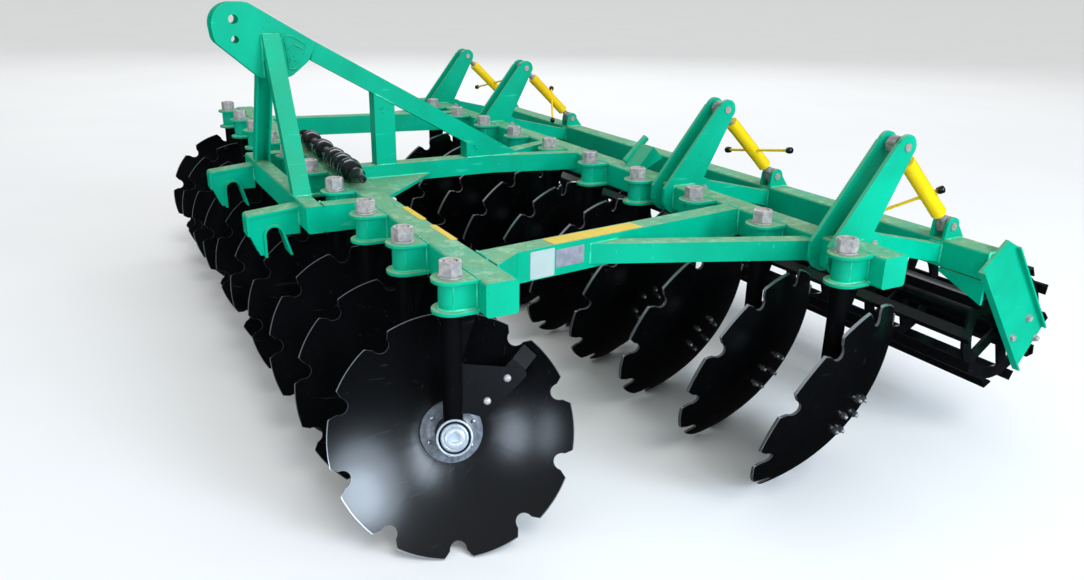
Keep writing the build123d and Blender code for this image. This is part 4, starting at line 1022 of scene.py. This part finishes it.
barrel_profile = [(BARREL_RADIUS - drop, height) for drop, height in BARREL_WALL]
barrel_profile = [(BARREL_BORE, BARREL_LOW)] + barrel_profile + [(BARREL_BORE, BARREL_HIGH)]
barrels, bars, knobs = [], [], []
for place_x, (turn, slide) in zip(ARM_PLACES, HANDLES):
    origin = np.array([place_x, *ARM_PIN])
    barrels.append(turned(barrel_profile, 40, origin, link_axes))
    grip = origin + HANDLE_PLACE * link_z
    for angle, length in ((turn, HANDLE_REACH + slide), (turn + 180, HANDLE_REACH - slide)):
        out = link_x * math.cos(math.radians(angle)) + link_axes[1] * math.sin(math.radians(angle))
        out_axes = axes_along(out, link_z)
        collar = [(0, -0.003), (0.007, -0.003), (0.0065, 0.002), (BAR_RADIUS, 0.003)]
        bar = [(radius, BARREL_RADIUS + height) for radius, height in collar]
        bar += [(BAR_RADIUS, length - 0.008), (0, length - 0.008)]
        bars.append(turned(bar, 20, grip, out_axes))
        knob = [(radius, length - KNOB_RADIUS + height) for radius, height in KNOB_PROFILE]
        knobs.append(turned(knob, 24, grip, out_axes))
build("adjuster_barrels", barrels, yellow_enamel, "turnbuckles", ["turnbuckle_barrels"])
build("adjuster_bars", bars, yellow_enamel, "turnbuckles", ["turnbuckle_handles"])
build("adjuster_knobs", knobs, rubber_black, "turnbuckles", ["turnbuckle_handles"], crease=50)


# Cross shaft on the front beam

SHAFT_LEFT, SHAFT_RIGHT = 0.430, -0.500
SHAFT_INSET = 0.030
SHAFT_SKEW = 0.035
SHAFT_CORE = 0.024
SHAFT_COLLAR = 0.042
COLLAR_STARTS = (0.120, 0.330, 0.520, 0.625, 0.730)
# A collar as (below its full radius, past its start)
COLLAR_SHAPE = (
    (0.006, 0.0), (0.0, 0.008), (0.0, 0.028), (0.003, 0.033), (0.001, 0.040), (0.004, 0.058), (0.008, 0.072),
)
# The tip as (radius, before the shaft's end)
TIP_SHAPE = (
    (SHAFT_CORE, 0.085), (SHAFT_CORE + 0.003, 0.080), (SHAFT_CORE + 0.002, 0.062),
    (SHAFT_CORE - 0.004, 0.055), (0.015, 0.020), (0.013, 0.002), (0.011, 0.0), (0.007, 0.0),
    (0.006, 0.012), (0.0, 0.012),
)
shaft_length = SHAFT_LEFT - SHAFT_RIGHT
shaft_tilt = math.atan2(SHAFT_SKEW, shaft_length)
shaft_run = np.array([math.cos(shaft_tilt), -math.sin(shaft_tilt), 0.0])
shaft_origin = np.array([SHAFT_RIGHT, FRONT_BACK - SHAFT_INSET, BEAM_TOP + SHAFT_COLLAR])
shaft = [(0.0, 0.0), (SHAFT_CORE - 0.002, 0.0), (SHAFT_CORE, 0.002)]
for start in COLLAR_STARTS:
    shaft.append((SHAFT_CORE, start - 0.006))
    shaft += [(SHAFT_COLLAR - drop, start + past) for drop, past in COLLAR_SHAPE]
    shaft.append((SHAFT_CORE, start + 0.078))
shaft += [(radius, shaft_length - before) for radius, before in TIP_SHAPE]


RIBS, RIB_DEPTH = 8, 0.022


def ribbed(angle, radius, height):
    """Long ribs on the collars only: waves round them, as deep as a share of the radius."""
    depth = np.where(radius > SHAFT_COLLAR - 0.009, RIB_DEPTH, 0.0)
    return radius * (1 + depth * (np.cos(RIBS * angle) - 1) / 2)


shaft_skin = turned(shaft, 64, shaft_origin, axes_along(shaft_run), ribbed)
build("shaft_cover", [shaft_skin], rubber_black, "frame", ["hitch_cross_shaft"], crease=45)


# Bolts on the end plates, and blank labels

# Bolts of each end plate as (y, z), and their hexagon heads as (across flats, height)
END_PLATE_BOLTS = ((0.968, 0.450), (0.902, 0.394), (1.030, 0.369))
END_PLATE_HEAD = (0.017, 0.010)
END_PLATE_THICK = 0.010
WASHER = 0.002
SMALL_WASHER_PROFILE = [(0, 0), (0.012, 0), (0.012, WASHER), (0, WASHER)]
plate_bolts = []
for sign in (1, -1):
    out = (np.array([0.0, 1.0, 0.0]), np.array([0.0, 0.0, sign * 1.0]), np.array([sign * 1.0, 0.0, 0.0]))
    for y, z in END_PLATE_BOLTS:
        spot = np.array([sign * (END_X + END_PLATE_THICK), y, z])
        plate_bolts.append(turned(SMALL_WASHER_PROFILE, 28, spot, out))
        plate_bolts.append(hex_bolt(*END_PLATE_HEAD, spot + [sign * WASHER, 0, 0], out))
build("end_plate_bolts", plate_bolts, zinc_plate, "roller_frame")

_, front_x, rear_x, _ = SIDES[0]
slope = (rear_x - front_x) / (REAR_FACE - FRONT_BACK)
beam_run = np.array([slope, 1.0, 0.0]) / math.hypot(slope, 1.0)
beam_out = np.array([beam_run[1], -beam_run[0], 0.0])
up = np.array([0.0, 0.0, 1.0])
face_axes = (beam_run, up, beam_out)


def on_side_beam(y, across, z):
    """A point on the left side beam: y along it, across from its middle line, at the height z."""
    return np.array([front_x + slope * (y - FRONT_BACK) + across * math.hypot(slope, 1.0), y, z])


FILM = 0.0009
FILM_EASE = 0.0003
# Outlines of the labels: length, height and corner radius
LONG_LABEL = round_rectangle(0.330, 0.056, 0.004)
STRIP_LABEL = round_rectangle(0.167, 0.020, 0.002)
WHITE_LABEL = round_rectangle(0.083, 0.080, 0.003)
DATA_LABEL = round_rectangle(0.100, 0.053, 0.002)
LONG_Y = -0.335
STRIP_PLACES, STRIP_INSET = (0.762, 0.998), 0.0115
WHITE_Y, WHITE_Z = -0.538, 0.7005
DATA_Y, DATA_Z, DATA_THICK = -0.4425, 0.7065, 0.0012
RIVET_ALONG, RIVET_UP = 0.0455, 0.022
RIVET_PROFILE = [(0, 0), (0.0022, 0), (0.0018, 0.0008), (0, 0.0011)]

long_at = on_side_beam(LONG_Y, 0.0, BEAM_TOP)
labels = [slab(LONG_LABEL, FILM, long_at, (beam_run, -beam_out, up), FILM_EASE)]
for x in STRIP_PLACES:
    strip_at = (x, FRONT_BACK - STRIP_INSET, BEAM_TOP)
    labels.append(slab(STRIP_LABEL, FILM, strip_at, LEVEL, FILM_EASE))
build("yellow_labels", labels, yellow_film, "frame")

white_at = on_side_beam(WHITE_Y, SIDE_HALF, WHITE_Z)
white_plate = slab(WHITE_LABEL, FILM, white_at, face_axes, FILM_EASE)
build("white_label", [white_plate], white_film, "frame")

data_at = on_side_beam(DATA_Y, SIDE_HALF, DATA_Z)
plate_skins = [slab(DATA_LABEL, DATA_THICK, data_at, face_axes, FILM_EASE)]
for along in (-RIVET_ALONG, RIVET_ALONG):
    for height in (-RIVET_UP, RIVET_UP):
        spot = on_side_beam(DATA_Y + along, SIDE_HALF + DATA_THICK, DATA_Z + height)
        plate_skins.append(turned(RIVET_PROFILE, 12, spot, face_axes))
build("data_plate", plate_skins, plate_metal, "frame")


# Floor, light and camera

FLOOR_SIZE = 800.0


def floor_finish():
    """Pale floor with a faint cloud of its own."""
    material = bpy.data.materials.new("pale_floor")
    material.use_nodes = True
    tree = material.node_tree
    shader = tree.nodes["Principled BSDF"]
    where = wire(tree, "ShaderNodeTexCoord").outputs["Object"]
    cloud = noise(tree, where, 0.8, 4.0, 0.5)
    tone = blend_colours(tree, cloud, linear(232, 233, 234), linear(240, 240, 240))
    tree.links.new(tone, shader.inputs["Base Color"])
    shader.inputs["Roughness"].default_value = 0.85
    return material


half = FLOOR_SIZE / 2
mesh = bpy.data.meshes.new("floor")
mesh.from_pydata([(-half, -half, 0), (half, -half, 0), (half, half, 0), (-half, half, 0)], [], [(0, 1, 2, 3)])
mesh.materials.append(floor_finish())
floor = bpy.data.objects.new("floor", mesh)
bpy.context.scene.collection.objects.link(floor)
floor.visible_glossy = False


def aimed(name, lamp, at, towards, mirrored):
    """Puts a lamp at a place, turned towards another; mirrored says whether shiny faces show it."""
    source = bpy.data.objects.new(name, lamp)
    bpy.context.scene.collection.objects.link(source)
    rotation = np.array(axes_along(np.asarray(at, float) - np.asarray(towards, float))).T
    turn = Matrix(rotation.tolist()).to_4x4()
    turn.translation = at
    source.matrix_world = turn
    source.visible_glossy = mirrored
    source.visible_camera = False


def on_sky(azimuth, elevation, distance, middle):
    """The point at a distance from the middle, seen from it at an azimuth from +X towards +Y and at an
    elevation, both in degrees."""
    a, e = math.radians(azimuth), math.radians(elevation)
    way = np.array([math.cos(a) * math.cos(e), math.sin(a) * math.cos(e), math.sin(e)])
    return np.array(middle) + distance * way


def soft_light(name, azimuth, elevation, size, radiance, tint, middle=(1.3, -0.8, 0.35), distance=8.0):
    """A flat lamp of the given size in degrees and of the given brightness, aimed at the middle."""
    lamp = bpy.data.lights.new(name, "AREA")
    wide, high = (2 * distance * math.tan(math.radians(angle / 2)) for angle in size)
    lamp.shape, lamp.size, lamp.size_y = "ELLIPSE", wide, high
    lamp.energy, lamp.color = radiance * math.pi * wide * high * math.pi / 4, tint
    aimed(name, lamp, on_sky(azimuth, elevation, distance, middle), middle, True)


def even_light(name, azimuth, elevation, strength, spread, tint=(1.0, 0.985, 0.96)):
    """A far lamp that lights all of the floor alike; shiny faces don't show it."""
    lamp = bpy.data.lights.new(name, "SUN")
    lamp.energy, lamp.angle, lamp.color = strength, math.radians(spread), tint
    aimed(name, lamp, on_sky(azimuth, elevation, 10.0, (0, 0, 0)), (0, 0, 0), False)


# Even lamps: name, azimuth, elevation, strength, spread
for lamp in (
    ("day", 4.0, 56.0, 0.9, 24.0),
    ("overcast", -60.0, 80.0, 1.2, 150.0),
    ("yard", -105.0, 28.0, 0.25, 60.0),
):
    even_light(*lamp)
# Soft lamps that the near disc mirrors: name, azimuth, elevation, width and height, brightness
COOL = (0.72, 0.85, 1.0)
for lamp in (
    ("window_left", 25.0, 22.0, (29.0, 33.0), 7.0),
    ("window_left_core", 27.0, 24.0, (17.0, 19.0), 11.0),
    ("window_middle", -3.0, 20.0, (9.0, 18.0), 14.0),
    ("window_right", -39.0, 12.0, (11.0, 16.0), 9.0),
    ("window_far_right", -52.5, 9.0, (7.0, 16.0), 6.0),
):
    soft_light(*lamp, COOL)
soft_light("back_sky", 152.0, 30.0, (70.0, 26.0), 1.6, (0.92, 0.96, 1.0), (0.0, 0.2, 0.6), 12.0)

# A dim sky that pales upwards for lighting and gloss; where the camera looks straight at it, it is pale
SKY_LOW, SKY_HIGH = (0.02, 0.02, 0.022, 1.0), (0.90, 0.95, 1.0, 1.0)
BACKDROP = (2.45, 2.46, 2.48, 1.0)
SKY_STRENGTH = 0.28
world = bpy.data.worlds.new("studio")
bpy.context.scene.world = world
world.use_nodes = True
tree = world.node_tree
aim = wire(tree, "ShaderNodeSeparateXYZ", {0: wire(tree, "ShaderNodeTexCoord").outputs["Generated"]})
height = steps(tree, aim.outputs["Z"], -0.05, 0.75)
sky = blend_colours(tree, height, SKY_LOW, SKY_HIGH)
straight = wire(tree, "ShaderNodeLightPath").outputs["Is Camera Ray"]
sky = blend_colours(tree, straight, sky, BACKDROP)
tree.links.new(sky, tree.nodes["Background"].inputs["Color"])
tree.nodes["Background"].inputs["Strength"].default_value = SKY_STRENGTH
bpy.context.scene.view_settings.view_transform = "Standard"

# The camera, as fitted to the photograph
CAMERA_AT = (3.2359, -1.6378, 1.4450)
CAMERA_TURN = math.radians(61.0)
CAMERA_PITCH = math.radians(19.9)
CAMERA_ROLL = math.radians(1.1)
CAMERA_LENS = 28.76
SENSOR = 36.0

ahead = math.cos(CAMERA_PITCH)
look = np.array([-math.sin(CAMERA_TURN) * ahead, math.cos(CAMERA_TURN) * ahead, -math.sin(CAMERA_PITCH)])
level = np.cross(look, up)
level /= np.linalg.norm(level)
upward = np.cross(level, look)
right = level * math.cos(CAMERA_ROLL) + upward * math.sin(CAMERA_ROLL)
turn = Matrix(np.array([right, np.cross(right, look), -look]).T.tolist()).to_4x4()
turn.translation = CAMERA_AT
eye = bpy.data.cameras.new("camera")
eye.lens, eye.sensor_width = CAMERA_LENS, SENSOR
camera = bpy.data.objects.new("camera", eye)
bpy.context.scene.collection.objects.link(camera)
camera.matrix_world = turn
bpy.context.scene.camera = camera
